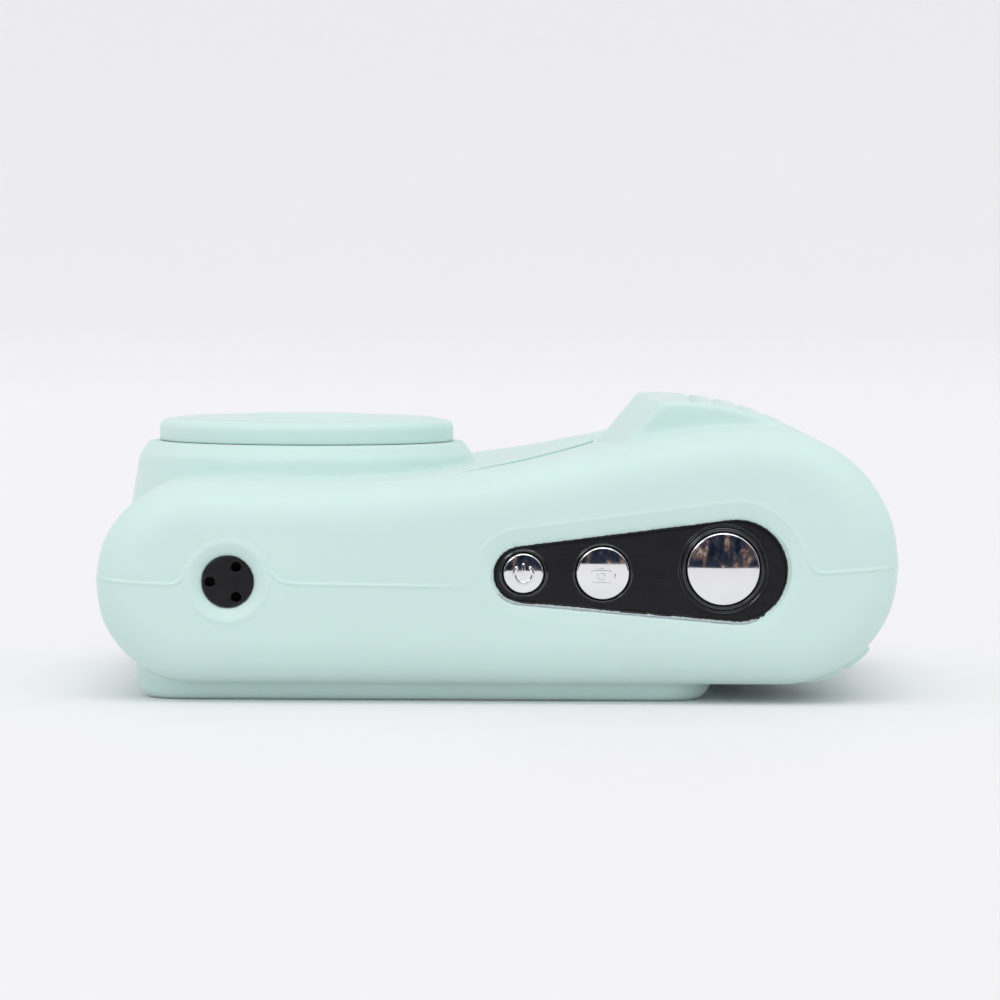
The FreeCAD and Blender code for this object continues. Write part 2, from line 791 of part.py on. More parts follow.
# ---------------------------------------------------------------- speaker and microphone
def build_speaker():
    head = rod("grille_head", "grille_x", ("grille_face", -36.9), "grille_z", "grille_radius", "Y")
    spigot = rod("grille_spigot", "grille_x", (-37, -35.1), "grille_z", 3.2, "Y")
    holes = []
    for i in range(3):
        angle = f"{60 + 120 * i} deg"
        holes.append(
            rod(
                f"grille_hole_{i}",
                f"grille_x + grille_hole_circle * cos({angle})",
                (-39, -35),
                f"grille_z + grille_hole_circle * sin({angle})",
                "grille_hole_radius",
                "Y",
            )
        )
    grille = cut("speaker_grille", fuse("grille_blank", head, spigot), *holes)
    keep(grille, "speaker_grille")
    basket = rod("speaker_basket", "grille_x", (-35.05, -32.8), "grille_z", "speaker_radius", "Y")
    magnet = rod("speaker_magnet", "grille_x", (-33, -30.6), "grille_z", "speaker_radius * 0.6",
                 "Y")
    mouth = rod("speaker_mouth", "grille_x", (-36, -34.3), "grille_z", "speaker_radius - 1.2", "Y")
    keep(cut("speaker", fuse("speaker_blank", basket, magnet), mouth), "speaker")
    mic = rod("microphone", 22.5, ("switch_back - 1.6", "switch_back"), 18.8, 2.0, "Y")
    keep(mic, "microphone")


# ---------------------------------------------------------------- lens and sensor
def build_optics():
    """Everything on the lens axis, from the sensor board up to the front window."""

    def on_axis(body, label):
        keep(place(body, x="lens_x"), label)

    half = "sensor_board_side / 2"
    board = padded(
        "sensor_board",
        "XY_Plane",
        [(f"-{half}", f"-{half}"), (half, f"-{half}"), (half, half), (f"-{half}", half)],
        "sensor_board_top - sensor_board_low",
        [(f"{sx}sensor_post_offset", f"{sy}sensor_post_offset", 0.9) for sx in "+-" for sy in "+-"],
    )
    keep(place(board, "lens_x", 0, "(sensor_board_low + sensor_board_top) / 2"), "sensor_board")
    chip = box("image_sensor", centred("lens_x", 8.4), centred(0, 7.4),
               ("sensor_board_top", "sensor_board_top + 1.3"))
    keep(chip, "image_sensor")

    case = box("holder_case", centred("lens_x", "holder_side"), centred(0, "holder_side"),
               ("sensor_board_top", "sensor_board_top + 5"))
    neck = rod("holder_neck", "lens_x", 0, ("sensor_board_top + 4", "sensor_board_top + 9"),
               "barrel_radius + 1.2")
    bore = rod("holder_bore", "lens_x", 0, ("sensor_board_top + 3", 40), "barrel_radius + 0.05")
    room = box("holder_room", centred("lens_x", 11), centred(0, 11),
               ("sensor_board_top - 1", "sensor_board_top + 2.4"))
    seat = rod("holder_seat", "lens_x", 0, ("sensor_board_top + 2", 40), 3.6)
    keep(cut("lens_holder", fuse("holder_blank", case, neck), bore, room, seat), "lens_holder")
    glass = rod("ir_filter", "lens_x", 0, ("sensor_board_top + 3", "sensor_board_top + 3.5"), 5.0)
    keep(glass, "ir_filter")

    on_axis(
        turned(
            "lens_barrel",
            [
                ("2.6", 17.6), ("barrel_radius", 17.6), ("barrel_radius", 27.6), ("7.4", 27.6),
                ("7.4", 31.6), ("6.0", 31.6), ("6.0", 28.6), ("4.4", 28.6), ("4.4", 24.2),
                ("3.2", 24.2), ("3.2", 22.2), ("4.0", 22.2), ("4.0", 19.0), ("2.6", 19.0),
            ],
        ),
        "lens_barrel",
    )
    on_axis(
        turned("front_element", [("0", 29.5), ("2.5", 29.2), ("5.95", 28.6), ("5.95", 30.2),
                                 ("4.4", 30.75), ("2.3", 31.2), ("0", 31.35)]),
        "front_element",
    )
    on_axis(
        turned("middle_element", [("0", 24.7), ("2.0", 24.5), ("4.35", 24.25), ("4.35", 26.4),
                                  ("2.2", 27.1), ("0", 27.3)]),
        "middle_element",
    )
    on_axis(
        turned("rear_element", [("0", 19.5), ("2.0", 19.3), ("3.95", 19.05), ("3.95", 20.9),
                                ("2.0", 21.5), ("0", 21.7)]),
        "rear_element",
    )
    on_axis(
        turned(
            "lens_trim_ring",
            [
                ("trim_bore", "ring_seat"), ("ring_bore - 0.1", "ring_seat"),
                ("ring_bore - 0.1", "ring_top - 0.5"), ("ring_bore - 0.9", "ring_top - 0.5"),
                ("trim_slope", "window_low + 1.1"), ("trim_slope_foot", "window_low + 1.1"),
                ("trim_slope_foot", "window_low + 0.8"), ("window_radius + 0.1", "window_low + 0.8"),
                ("window_radius + 0.1", "window_low"), ("trim_bore", "window_low"),
            ],
        ),
        "lens_trim_ring",
    )
    on_axis(
        turned(
            "lens_window",
            [("0", "window_low"), ("window_radius", "window_low"),
             ("window_radius", "window_low + 0.6"), ("window_radius - 0.3", "window_low + 0.9"),
             ("window_radius * 0.5", "window_low + 1.25"), ("0", "window_low + 1.4")],
        ),
        "lens_window",
    )


# ---------------------------------------------------------------- display and rear buttons
def build_display():
    glass = box("glass_blank", centred("display_x", "glass_length"),
                centred(0, "glass_width"), (2.2, 3.4))
    keep(rounded("display_window", glass, 2.0, [(0, 0, 1)]), "display_window")
    keep(box("display_module", centred("display_x", "display_length"),
             centred(0, "display_width"), (4.0, 6.3)), "display_module")
    blank = box("bracket_blank", centred("display_x", 70.6), centred(0, 47.2), (6.4, 7.0))
    holes = [
        box(f"bracket_hole_{i}", centred(f"display_x {sign} 17", 28), centred(0, 36), (6, 8))
        for i, sign in enumerate("-+")
    ]
    keep(cut("display_bracket", blank, *holes), "display_bracket")


def build_rear_buttons():
    domes = []
    for i, name in enumerate(REAR_BUTTONS):
        y = f"rear_button_first + {i} * rear_button_pitch"
        body = turned(
            name,
            [
                ("0", "rear_button_low - 0.25"),
                ("rear_button_radius - 0.9", "rear_button_low - 0.15"),
                ("rear_button_radius - 0.35", "rear_button_low"),
                ("rear_button_radius", "rear_button_low + 0.4"),
                ("rear_button_radius", "rear_flange_low"),
                ("rear_button_radius + 0.7", "rear_flange_low"),
                ("rear_button_radius + 0.7", "rear_flange_top"),
                ("1.2", "rear_flange_top"),
                ("1.2", "rear_stem_top"),
                ("0", "rear_stem_top"),
            ],
        )
        keep(place(body, "rear_button_x", y), name)
        domes.append(rod(f"dome_{i}", "rear_button_x", y, ("dome_low", "rear_board_low"), 2.1))
    keep(group("dome_switches", *domes), "dome_switches")
    ends = ("rear_button_first - 9", "rear_button_first + 3 * rear_button_pitch + 9")
    blank = box("rear_board_blank", centred("rear_button_x", 9), ends,
                ("rear_board_low", "rear_board_top"))
    holes = [
        rod(f"rear_board_hole_{i}", x, y, (8, 12), 0.9)
        for i, (x, y) in enumerate(rear_board_screw_places())
    ]
    keep(cut("rear_button_board", blank, *holes), "rear_button_board")


# ---------------------------------------------------------------- boards, ports, battery
def build_main_board():
    blank = box("board_blank", ("board_left", "board_right"), ("board_near", "board_far"),
                ("board_low", "board_top"))
    holes = [
        rod(f"board_hole_{i}", x, y, (10, 15), 1.0) for i, (x, y) in enumerate(board_screw_places())
    ]
    keep(cut("main_board", blank, *holes), "main_board")
    chips = [
        box("processor", (-2, 10), (-14, -2), ("board_top", "board_top + 1.4")),
        box("memory_chip", (-3, 7), (3, 11), ("board_top", "board_top + 1.1")),
        box("power_chip", (18, 23), (-20, -15), ("board_top", "board_top + 1.0")),
        box("flash_chip", (24, 30), (4, 9), ("board_top", "board_top + 1.1")),
    ]
    keep(group("board_chips", *chips), "board_chips")

    shell = box("usb_shell", centred("usb_x", 9), (29.3, 36.6), ("board_top", "board_top + 3.2"))
    mouth = box("usb_mouth", centred("usb_x", 8.4), (30.4, 37), ("board_top + 0.3",
                                                                 "board_top + 2.9"))
    tongue = box("usb_tongue", centred("usb_x", 6.6), (30.2, 35.6), ("board_top + 1.25",
                                                                    "board_top + 1.95"))
    keep(fuse("usb_socket", cut("usb_case", rounded("usb_round", shell, 1.2, [(0, 1, 0)]), mouth),
              tongue), "usb_socket")

    case = box("card_case", centred("card_x", 14), (19.5, 34.4), ("board_top", "board_top + 1.9"))
    slot = box("card_slot", centred("card_x", 11.4), (20.6, 36),
               ("card_low - 0.12", "card_low + card_thickness + 0.12"))
    keep(cut("card_socket", case, slot), "card_socket")
    span = ("card_end - 15", "card_end")
    blank = box("card_blank", centred("card_x", 11), span,
                ("card_low", "card_low + card_thickness"))
    nick = box("card_nick", ("card_x + 4.4", "card_x + 7"), ("card_end - 9", "card_end - 7.6"),
               (10, 18))
    keep(cut("memory_card", blank, nick), "memory_card")


def build_battery():
    far = "battery_near + battery_length"
    heights = ("battery_low", "battery_low + battery_height")
    cell = box("battery_cell", centred("battery_x", "battery_width"),
               ("battery_near", far), heights)
    keep(rounded("battery", cell, 2.2, [(0, 1, 0)]), "battery")

    outside = box("tray_outside", centred("battery_x", "battery_width + 2.4"),
                  ("battery_near - 1.2", f"{far} + 1.2"), ("battery_low - 1", "battery_low + 3"))
    inside = box("tray_inside", centred("battery_x", "battery_width + 0.2"),
                 ("battery_near - 0.1", f"{far} + 0.1"), ("battery_low", "battery_low + 5"))
    legs = [
        rod(f"tray_leg_{x}_{y}", f"battery_x + ({x})", y, ("board_top", "battery_low - 0.5"), 1.4)
        for x in (-15, 7)
        for y in (-19, 13)
    ]
    outlet = box("tray_outlet", ("battery_x - 15.8", "battery_x - 7"), (24, 30),
                 ("battery_low + 0.6", "battery_low + 5"))
    keep(cut("battery_tray", fuse("tray_blank", outside, *legs), inside, outlet), "battery_tray")


def tube(points, radius, bend):
    """A wire along straight runs joined by tangent arcs."""
    edges, at = [], points[0]
    for before, corner, after in zip(points, points[1:], points[2:]):
        back = (before - corner).normalize()
        ahead = (after - corner).normalize()
        half = back.getAngle(ahead) / 2
        reach = bend / math.tan(half)
        start, end = corner + back * reach, corner + ahead * reach
        centre = corner + (back + ahead).normalize() * (bend / math.sin(half))
        middle = centre + (corner - centre).normalize() * bend
        edges += [line(at, start), Part.Arc(start, middle, end).toShape()]
        at = end
    edges.append(line(at, points[-1]))
    path = Part.Wire(edges)
    ring = Part.Wire(Part.makeCircle(radius, points[0], points[1] - points[0]))
    return path.makePipeShell([ring], True, False)


def build_cables():
    """Two pairs of leads and three flat ribbons."""
    far = d["battery_near"] + d["battery_length"]
    left = d["battery_x"] - 14.5
    top = d["battery_low"] + 2.5
    leads = [
        tube(
            [
                Vector(left + i * 1.6, far, top),
                Vector(left + i * 1.6, far + 2.6, top),
                Vector(left + i * 1.6, far + 2.6, d["board_top"]),
            ],
            0.5,
            1.2,
        )
        for i in range(2)
    ]
    solid_part("battery_leads", Part.makeCompound(leads))
    start_x, end_x = d["grille_x"], d["board_left"] + 2.5
    leads = [
        tube(
            [
                Vector(start_x + 2, -30.6, d["grille_z"] + i * 1.6),
                Vector(start_x + 2, -26.5 + i * 1.6, d["grille_z"] + i * 1.6),
                Vector(end_x + i * 1.6, -26.5 + i * 1.6, d["grille_z"] + i * 1.6),
                Vector(end_x + i * 1.6, -26.5 + i * 1.6, d["board_top"]),
            ],
            0.5,
            1.6,
        )
        for i in range(2)
    ]
    solid_part("speaker_leads", Part.makeCompound(leads))

    edge = "sensor_board_side / 2"
    ribbon = padded(
        "sensor_ribbon",
        "XZ_Plane",
        [
            (f"lens_x + {edge} - 3", "sensor_board_low - 0.3"),
            (f"lens_x + {edge} - 3", "sensor_board_low"),
            (f"lens_x + {edge} + 1", "sensor_board_low"),
            ("board_left - 2", "board_low"),
            ("board_left + 3", "board_low"),
            ("board_left + 3", "board_low - 0.3"),
            ("board_left - 2.1", "board_low - 0.3"),
            (f"lens_x + {edge} + 0.9", "sensor_board_low - 0.3"),
        ],
        8,
    )
    keep(ribbon, "sensor_ribbon")
    ribbon = padded(
        "display_ribbon",
        "XZ_Plane",
        [(18, 7.0), (18, 7.3), (21, 7.3), (25.5, "board_low - 0.3"), (25.5, "board_low"),
         (29, "board_low"), (29, "board_low - 0.3"), (25.8, "board_low - 0.3"), (21.3, 7.0)],
        12,
    )
    keep(place(ribbon, y=4), "display_ribbon")
    ribbon = padded(
        "button_ribbon",
        "YZ_Plane",
        [("button_board_back", 16), ("button_board_back", 15.7), (-25.2, 15.7),
         (-24.7, 15.2), (-24.7, "board_top"), (-24.4, "board_top"), (-24.4, 15.3),
         (-25.1, 16)],
        8,
    )
    keep(place(ribbon, x=6), "button_ribbon")


# ---------------------------------------------------------------- fasteners and tripod nut
def screw(name, x, y, seat, length, head, shank, way=1):
    """A cross-head screw on the Z axis; way is +1 where its tip points up."""
    thick = head * 0.6
    low, high = sorted((seat, seat - way * thick))
    top = rod(f"{name}_head", x, y, (low, high), head)
    low, high = sorted((seat - way * 0.1, seat + way * length))
    stem = rod(f"{name}_shank", x, y, (low, high), shank)
    face = seat - way * thick
    low, high = sorted((face - way, face + way * thick * 0.55))
    arms = [
        box(f"{name}_arm_{i}", centred(x, a), centred(y, b), (low, high))
        for i, (a, b) in enumerate(((head * 1.2, head * 0.3), (head * 0.3, head * 1.2)))
    ]
    return cut(name, fuse(f"{name}_blank", top, stem), *arms)


def build_fasteners():
    shell = [
        screw(f"shell_screw_{i}", x, y, d["shell_screw_seat"], 11.0, 2.3, 1.0)
        for i, (x, y) in enumerate(shell_screw_places())
    ]
    keep(group("shell_screws", *shell), "shell_screws")
    board = [
        screw(f"board_screw_{i}", x, y, d["board_top"], 4.5, 1.9, 0.8, -1)
        for i, (x, y) in enumerate(board_screw_places())
    ]
    keep(group("board_screws", *board), "board_screws")
    rear = [
        screw(f"rear_board_screw_{i}", x, y, d["rear_board_top"], 2.8, 1.5, 0.7, -1)
        for i, (x, y) in enumerate(rear_board_screw_places())
    ]
    keep(group("rear_board_screws", *rear), "rear_board_screws")
    offset = d["sensor_post_offset"]
    places = [(d["lens_x"] + x, y) for x in (-offset, offset) for y in (-offset, offset)]
    sensor = [
        screw(f"sensor_screw_{i}", x, y, d["sensor_board_low"], 5.0, 1.5, 0.7)
        for i, (x, y) in enumerate(places)
    ]
    keep(group("sensor_board_screws", *sensor), "sensor_board_screws")
    pair = []
    for i, x in enumerate(button_board_screw_xs()):
        head = rod(f"button_screw_head_{i}", x, ("switch_back - 0.9", "switch_back"),
                   "button_screw_z", 1.5, "Y")
        shank = rod(f"button_screw_shank_{i}", x, ("switch_back - 0.3", "switch_back + 4.7"),
                    "button_screw_z", 0.7, "Y")
        pair.append(fuse(f"button_screw_{i}", head, shank))
    keep(group("button_board_screws", *pair), "button_board_screws")

    flange = rod("nut_flange", "lens_x", (32.9, 34.95), "tripod_z", "nut_flange_radius", "Y")
    barrel = rod("nut_barrel", "lens_x", (31.3, "tripod_mouth"), "tripod_z", "nut_radius", "Y")
    bore = rod("nut_bore", "lens_x", ("tripod_blind", 40), "tripod_z", "tripod_radius", "Y")
    keep(cut("tripod_nut", fuse("nut_blank", flange, barrel), bore), "tripod_nut")


# ---------------------------------------------------------------- build, check, export
def build():
    outer = camera_form(0)
    solid_part("silicone_sleeve", silicone_sleeve(outer))
    front, rear = shells()
    solid_part("front_shell", front)
    solid_part("rear_shell", rear)
    build_lens_cap()
    build_top_plate()
    for name in ("shutter", "mode", "power"):
        build_button(name)
    build_switches()
    build_speaker()
    build_optics()
    build_display()
    build_rear_buttons()
    build_main_board()
    build_battery()
    build_cables()
    build_fasteners()
    doc.recompute()


def check():
    """Stops before anything is written if an object failed or a shape is bad."""
    for obj in doc.Objects:
        if {"Invalid", "Error"} & set(obj.State):
            raise RuntimeError(f"{obj.Label} failed: {obj.State}")
    for obj in sub_parts:
        if obj.Shape.isNull() or not obj.Shape.isValid() or not obj.Shape.Solids:
            raise RuntimeError(f"{obj.Label} has no valid solid")


def export():
    os.makedirs("parts", exist_ok=True)
    for obj in sub_parts:
        solids = obj.Shape.Solids
        shape = solids[0] if len(solids) == 1 else Part.makeCompound(solids)
        shape.exportStep(os.path.join("parts", obj.Label + ".step"))
        print(f"{obj.Label}: {len(solids)} solid(s), {obj.Shape.Volume / 1000:.3f} cm3")


build()
check()
export()
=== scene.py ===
import json
import math

import bmesh
import bpy
import numpy as np
from mathutils import Matrix, Vector


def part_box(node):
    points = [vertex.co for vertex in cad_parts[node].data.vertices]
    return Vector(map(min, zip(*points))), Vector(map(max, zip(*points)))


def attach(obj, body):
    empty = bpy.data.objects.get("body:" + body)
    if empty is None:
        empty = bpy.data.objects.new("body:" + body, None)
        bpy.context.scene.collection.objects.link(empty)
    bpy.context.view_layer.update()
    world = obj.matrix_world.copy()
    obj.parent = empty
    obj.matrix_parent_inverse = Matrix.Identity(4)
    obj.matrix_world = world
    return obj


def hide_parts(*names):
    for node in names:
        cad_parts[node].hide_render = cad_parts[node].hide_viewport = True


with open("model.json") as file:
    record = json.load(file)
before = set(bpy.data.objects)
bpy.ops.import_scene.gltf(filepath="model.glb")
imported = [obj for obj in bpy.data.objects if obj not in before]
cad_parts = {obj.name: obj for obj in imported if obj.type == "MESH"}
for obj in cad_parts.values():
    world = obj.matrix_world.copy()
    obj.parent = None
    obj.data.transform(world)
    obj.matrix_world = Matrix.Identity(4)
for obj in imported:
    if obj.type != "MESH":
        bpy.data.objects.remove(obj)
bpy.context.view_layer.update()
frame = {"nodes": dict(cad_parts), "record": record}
MM = 0.001

# Sizes are in millimetres, in the frame that the CAD model uses: X along the camera's width,
# Y from its top face to its base, Z the way its lens looks. The stage's sizes are in metres.
HALF_LENGTH, HALF_DEPTH = 57.0, 39.0
NEAR_FACE = -39.0  # the camera's top face, which is the one that shows
NEAR_EDGE = -36.0  # where that face's rounded edge gives way to the ends
LENS_X = -28.5
CAP_RADIUS = 21.85
PANEL_FACE = -37.6
PANEL_SMALL = (3.4, 18.45, 3.95)  # the top plate's narrow end: x, z and radius
PANEL_LARGE = (33.7, 19.1, 7.2)
OPENING_SLANT = 0.5  # how far the lower and right walls of the plate's opening lean outward
GRILLE = (-37.9, 17.2)  # the middle of the sound disc: x and z
BUTTONS = {  # x, z, radius, where its rim stands along Y, radius of its dome, lean in degrees
    "shutter": (31.8, 19.35, 5.15, -38.22, 24.0, 0.0),
    "mode": (14.85, 18.65, 3.76, -37.95, 26.0, -2.6),
    "power": (3.7, 18.6, 2.86, -37.95, 24.0, -0.4),
}
BUTTON_EDGE = 0.34  # width of the rounding between a button's dome and its side
BUTTON_RISE = 0.28  # how far the dome's edge stands out from the rim
FLANGE_NEAR, FLANGE_FAR = -35.8, -35.1  # the flange that keeps a button in its hole, along Y
STEM_RADIUS = 1.75
SEAM_RISE = 0.17  # how far the ends and long faces are drawn in, to leave room for the seam
SEAM_ENDS = (17.5, 19.7)  # height of the mould seam at the left and right ends
GRIP_GROOVES = (28.2, 31.8, 35.4, 39.2, 42.8)  # x of the grooves across the thumb rest
random = np.random.default_rng(7)


# ---------------------------------------------------------------- small helpers
def link(name, mesh):
    """Puts a mesh into the scene as a piece of its own."""
    piece = bpy.data.objects.new(name, mesh)
    bpy.context.scene.collection.objects.link(piece)
    return piece


def mesh_piece(name, points, faces):
    """A smooth-shaded piece from points in millimetres."""
    mesh = bpy.data.meshes.new(name)
    mesh.from_pydata([tuple(c * MM for c in p) for p in points], [], faces)
    made = bmesh.new()
    made.from_mesh(mesh)
    bmesh.ops.recalc_face_normals(made, faces=made.faces)
    made.to_mesh(mesh)
    made.free()
    mesh.shade_smooth()
    return link(name, mesh)


def coordinates(mesh):
    """A mesh's vertices, in millimetres."""
    flat = np.empty(len(mesh.vertices) * 3, np.float32)
    mesh.vertices.foreach_get("co", flat)
    return flat.reshape(-1, 3).astype(float) / MM


def set_coordinates(mesh, points):
    mesh.vertices.foreach_set("co", (points * MM).astype(np.float32).ravel())
    mesh.update()


def normals(mesh):
    """The outward direction at each of a mesh's vertices."""
    flat = np.empty(len(mesh.vertices) * 3, np.float32)
    mesh.vertex_normals.foreach_get("vector", flat)
    return flat.reshape(-1, 3).astype(float)


def smoothstep(low, high, value):
    t = np.clip((value - low) / (high - low), 0, 1)
    return t * t * (3 - 2 * t)


def bump_at(distance, width):
    """1 on a line and falling off to both sides of it."""
    return np.exp(-(distance / width) ** 2)


def apply_modifiers(piece):
    """Bakes a piece's modifiers into its mesh."""
    graph = bpy.context.evaluated_depsgraph_get()
    mesh = bpy.data.meshes.new_from_object(piece.evaluated_get(graph), depsgraph=graph)
    piece.modifiers.clear()
    old = piece.data
    piece.data = mesh
    bpy.data.meshes.remove(old)
    return piece


def remeshed(name, node, voxel):
    """A dense, evenly spaced copy of a CAD node's solid."""
    piece = link(name, frame["nodes"][node].data.copy())
    piece.data.materials.clear()
    remesh = piece.modifiers.new("even", "REMESH")
    remesh.mode = "VOXEL"
    remesh.voxel_size = voxel * MM
    remesh.adaptivity = 0
    apply_modifiers(piece)
    piece.data.shade_smooth()
    return piece


def edge_pairs(mesh):
    """The two vertices of each of a mesh's edges."""
    pairs = np.empty(len(mesh.edges) * 2, np.int32)
    mesh.edges.foreach_get("vertices", pairs)
    return pairs.reshape(-1, 2)


def relax(points, pairs, rounds, weight, shrink=False):
    """Evens out a surface where weight is above 0; without shrink it keeps its volume."""
    near = weight > 0.001
    inside = np.flatnonzero(near)
    pairs = pairs[near[pairs[:, 0]] | near[pairs[:, 1]]]
    ring = np.unique(pairs)
    local = np.full(len(points), -1)
    local[ring] = np.arange(len(ring))
    pairs = local[pairs]
    part = points[ring]
    keep = weight[ring][:, None]
    count = np.bincount(pairs.ravel(), minlength=len(ring)).astype(float)[:, None]
    for step in range(rounds * (1 if shrink else 2)):
        total = np.zeros_like(part)
        for axis in range(3):
            total[:, axis] = np.bincount(
                pairs[:, 0], part[pairs[:, 1], axis], len(ring)
            ) + np.bincount(pairs[:, 1], part[pairs[:, 0], axis], len(ring))
        factor = 0.5 if shrink or step % 2 == 0 else -0.52
        part = part + keep * factor * (total / count - part)
    result = points.copy()
    result[inside] = part[local[inside]]
    return result


def refine(mesh, wanted, levels):
    """Splits the faces whose centres are wanted into four, levels times over."""
    for _ in range(levels):
        made = bmesh.new()
        made.from_mesh(mesh)
        made.faces.ensure_lookup_table()
        centres = np.empty(len(mesh.polygons) * 3, np.float32)
        mesh.polygons.foreach_get("center", centres)
        chosen = np.flatnonzero(wanted(centres.reshape(-1, 3).astype(float) / MM))
        edges = {e for i in chosen for e in made.faces[i].edges}
        bmesh.ops.subdivide_edges(made, edges=list(edges), cuts=1, use_grid_fill=True)
        made.to_mesh(mesh)
        made.free()
    mesh.shade_smooth()


def polyline_distance(x, z, points):
    """Distance from each (x, z) to a run of straight lines."""
    best = np.full(len(x), 1e9)
    for (x1, z1), (x2, z2) in zip(points, points[1:]):
        length = math.hypot(x2 - x1, z2 - z1)
        ux, uz = (x2 - x1) / length, (z2 - z1) / length
        along = np.clip((x - x1) * ux + (z - z1) * uz, 0, length)
        best = np.minimum(best, np.hypot(x - x1 - along * ux, z - z1 - along * uz))
    return best


def catmull(points, steps=8):
    """A smooth run through a few points."""
    points = [np.array(p, float) for p in points]
    padded = [2 * points[0] - points[1], *points, 2 * points[-1] - points[-2]]
    made = []
    for a, b, c, e in zip(padded, padded[1:], padded[2:], padded[3:]):
        for t in np.arange(steps) / steps:
            made.append(0.5 * (2 * b + (c - a) * t + (2 * a - 5 * b + 4 * c - e) * t ** 2
                               + (3 * b - a - 3 * c + e) * t ** 3))
    return [tuple(p) for p in made] + [tuple(points[-1])]


def lathe(name, profile, x, z, segments=128, lean=0.0):
    """A turned piece round an axis along Y; the profile gives (radius, y) pairs. A lean
    tips it about X, in degrees."""
    points = []
    faces = []
    rings = []
    slope = math.tan(math.radians(lean))
    for radius, y in profile:
        if radius < 1e-6:
            rings.append([len(points)])
            points.append((x, y, z))
            continue
        rings.append(list(range(len(points), len(points) + segments)))
        for i in range(segments):
            angle = 2 * math.pi * i / segments
            dz = radius * math.sin(angle)
            points.append((x + radius * math.cos(angle), y + slope * dz, z + dz))
    for a, b in zip(rings, rings[1:]):
        for i in range(segments):
            j = (i + 1) % segments
            if len(a) == 1:
                faces.append((a[0], b[i], b[j]))
            elif len(b) == 1:
                faces.append((a[i], b[0], a[j]))
            else:
                faces.append((a[i], b[i], b[j], a[j]))
    return mesh_piece(name, points, faces)


def bead(name, path, width, height, surface, closed=False):
    """A low rounded bead along a path of (u, v) points; surface(u, v, h) gives a point
    that stands h above the surface at (u, v)."""
    path = [np.array(p, float) for p in path]
    section = [(math.cos(a), math.sin(a)) for a in np.linspace(0, math.pi, 9)]
    section += [(-0.8, -0.6), (0.8, -0.6)]  # its foot, sunk below the surface
    end_size = 0.35
    points = []
    count = len(path)
    for i, p in enumerate(path):
        before = path[i - 1] if i or closed else p
        after = path[(i + 1) % count] if i < count - 1 or closed else p
        along = after - before
        along /= np.linalg.norm(along)
        side = np.array([-along[1], along[0]])
        end = 1.0
        if not closed and i in (0, count - 1):
            end = end_size
        for across, up in section:
            u, v = p + side * across * width / 2 * end
            points.append(surface(u, v, up * height * end))
    size = len(section)
    faces = []
    for i in range(count if closed else count - 1):
        j = (i + 1) % count
        for k in range(size):
            m = (k + 1) % size
            faces.append((i * size + k, i * size + m, j * size + m, j * size + k))
    if not closed:
        faces.append(tuple(range(size)))
        faces.append(tuple((count - 1) * size + k for k in range(size)))
    return mesh_piece(name, points, faces)


# ---------------------------------------------------------------- materials
class Material:
    """A node material on one Principled shader, built up a step at a time."""

    def __init__(self, name, colour, roughness, **sockets):
        self.material = bpy.data.materials.new(name)
        self.material.use_nodes = True
        self.tree = self.material.node_tree
        self.shader = self.tree.nodes["Principled BSDF"]
        self.shader.inputs["Base Color"].default_value = (*colour, 1)
        self.shader.inputs["Roughness"].default_value = roughness
        for socket, value in sockets.items():
            self.shader.inputs[socket.replace("_", " ")].default_value = value
        self.place = self.node("ShaderNodeTexCoord").outputs["Object"]

    def node(self, kind, **properties):
        made = self.tree.nodes.new(kind)
        for name, value in properties.items():
            setattr(made, name, value)
        return made

    def link(self, output, target):
        self.tree.links.new(output, target)

    def noise(self, scale, detail, stretch=(1, 1, 1), roughness=0.5, turn=0.0):
        """Noise with features of about 1 / scale metres, turned about Y in degrees."""
        mapping = self.node("ShaderNodeMapping")
        mapping.inputs["Scale"].default_value = stretch
        mapping.inputs["Rotation"].default_value = (0, math.radians(turn), 0)
        self.link(self.place, mapping.inputs["Vector"])
        made = self.node("ShaderNodeTexNoise")
        made.inputs["Scale"].default_value = scale
        made.inputs["Detail"].default_value = detail
        made.inputs["Roughness"].default_value = roughness
        self.link(mapping.outputs["Vector"], made.inputs["Vector"])
        return made.outputs["Fac"]

    def ramp(self, value, stops):
        """A colour that follows the value through (place, colour) stops."""
        made = self.node("ShaderNodeValToRGB")
        elements = made.color_ramp.elements
        while len(elements) < len(stops):
            elements.new(0.5)
        for element, (at, colour) in zip(elements, stops):
            element.position = at
            element.color = (*colour, 1)
        self.link(value, made.inputs["Fac"])
        return made.outputs["Color"]

    def remap(self, value, low, high, to_low, to_high):
        made = self.node("ShaderNodeMapRange")
        for name, number in zip(("From Min", "From Max", "To Min", "To Max"),
                                (low, high, to_low, to_high)):
            made.inputs[name].default_value = number
        self.link(value, made.inputs["Value"])
        return made.outputs["Result"]

    def colours(self, value, stops):
        self.link(self.ramp(value, stops), self.shader.inputs["Base Color"])
        return self

    def rough(self, value, low, high):
        """Lets the roughness follow a noise, whose values mostly lie from 0.3 to 0.7."""
        self.link(self.remap(value, 0.3, 0.7, low, high), self.shader.inputs["Roughness"])
        return self

    def bump(self, value, depth_mm, strength):
        """Adds relief of that depth, on top of any relief there already."""
        made = self.node("ShaderNodeBump")
        made.inputs["Strength"].default_value = strength
        made.inputs["Distance"].default_value = depth_mm * MM
        self.link(value, made.inputs["Height"])
        before = self.shader.inputs["Normal"].links
        if before:
            self.link(before[0].from_socket, made.inputs["Normal"])
        self.link(made.outputs["Normal"], self.shader.inputs["Normal"])
        return self


def scaled(colour, factor):
    return tuple(c * factor for c in colour)


MINT = (0.604, 0.788, 0.752)


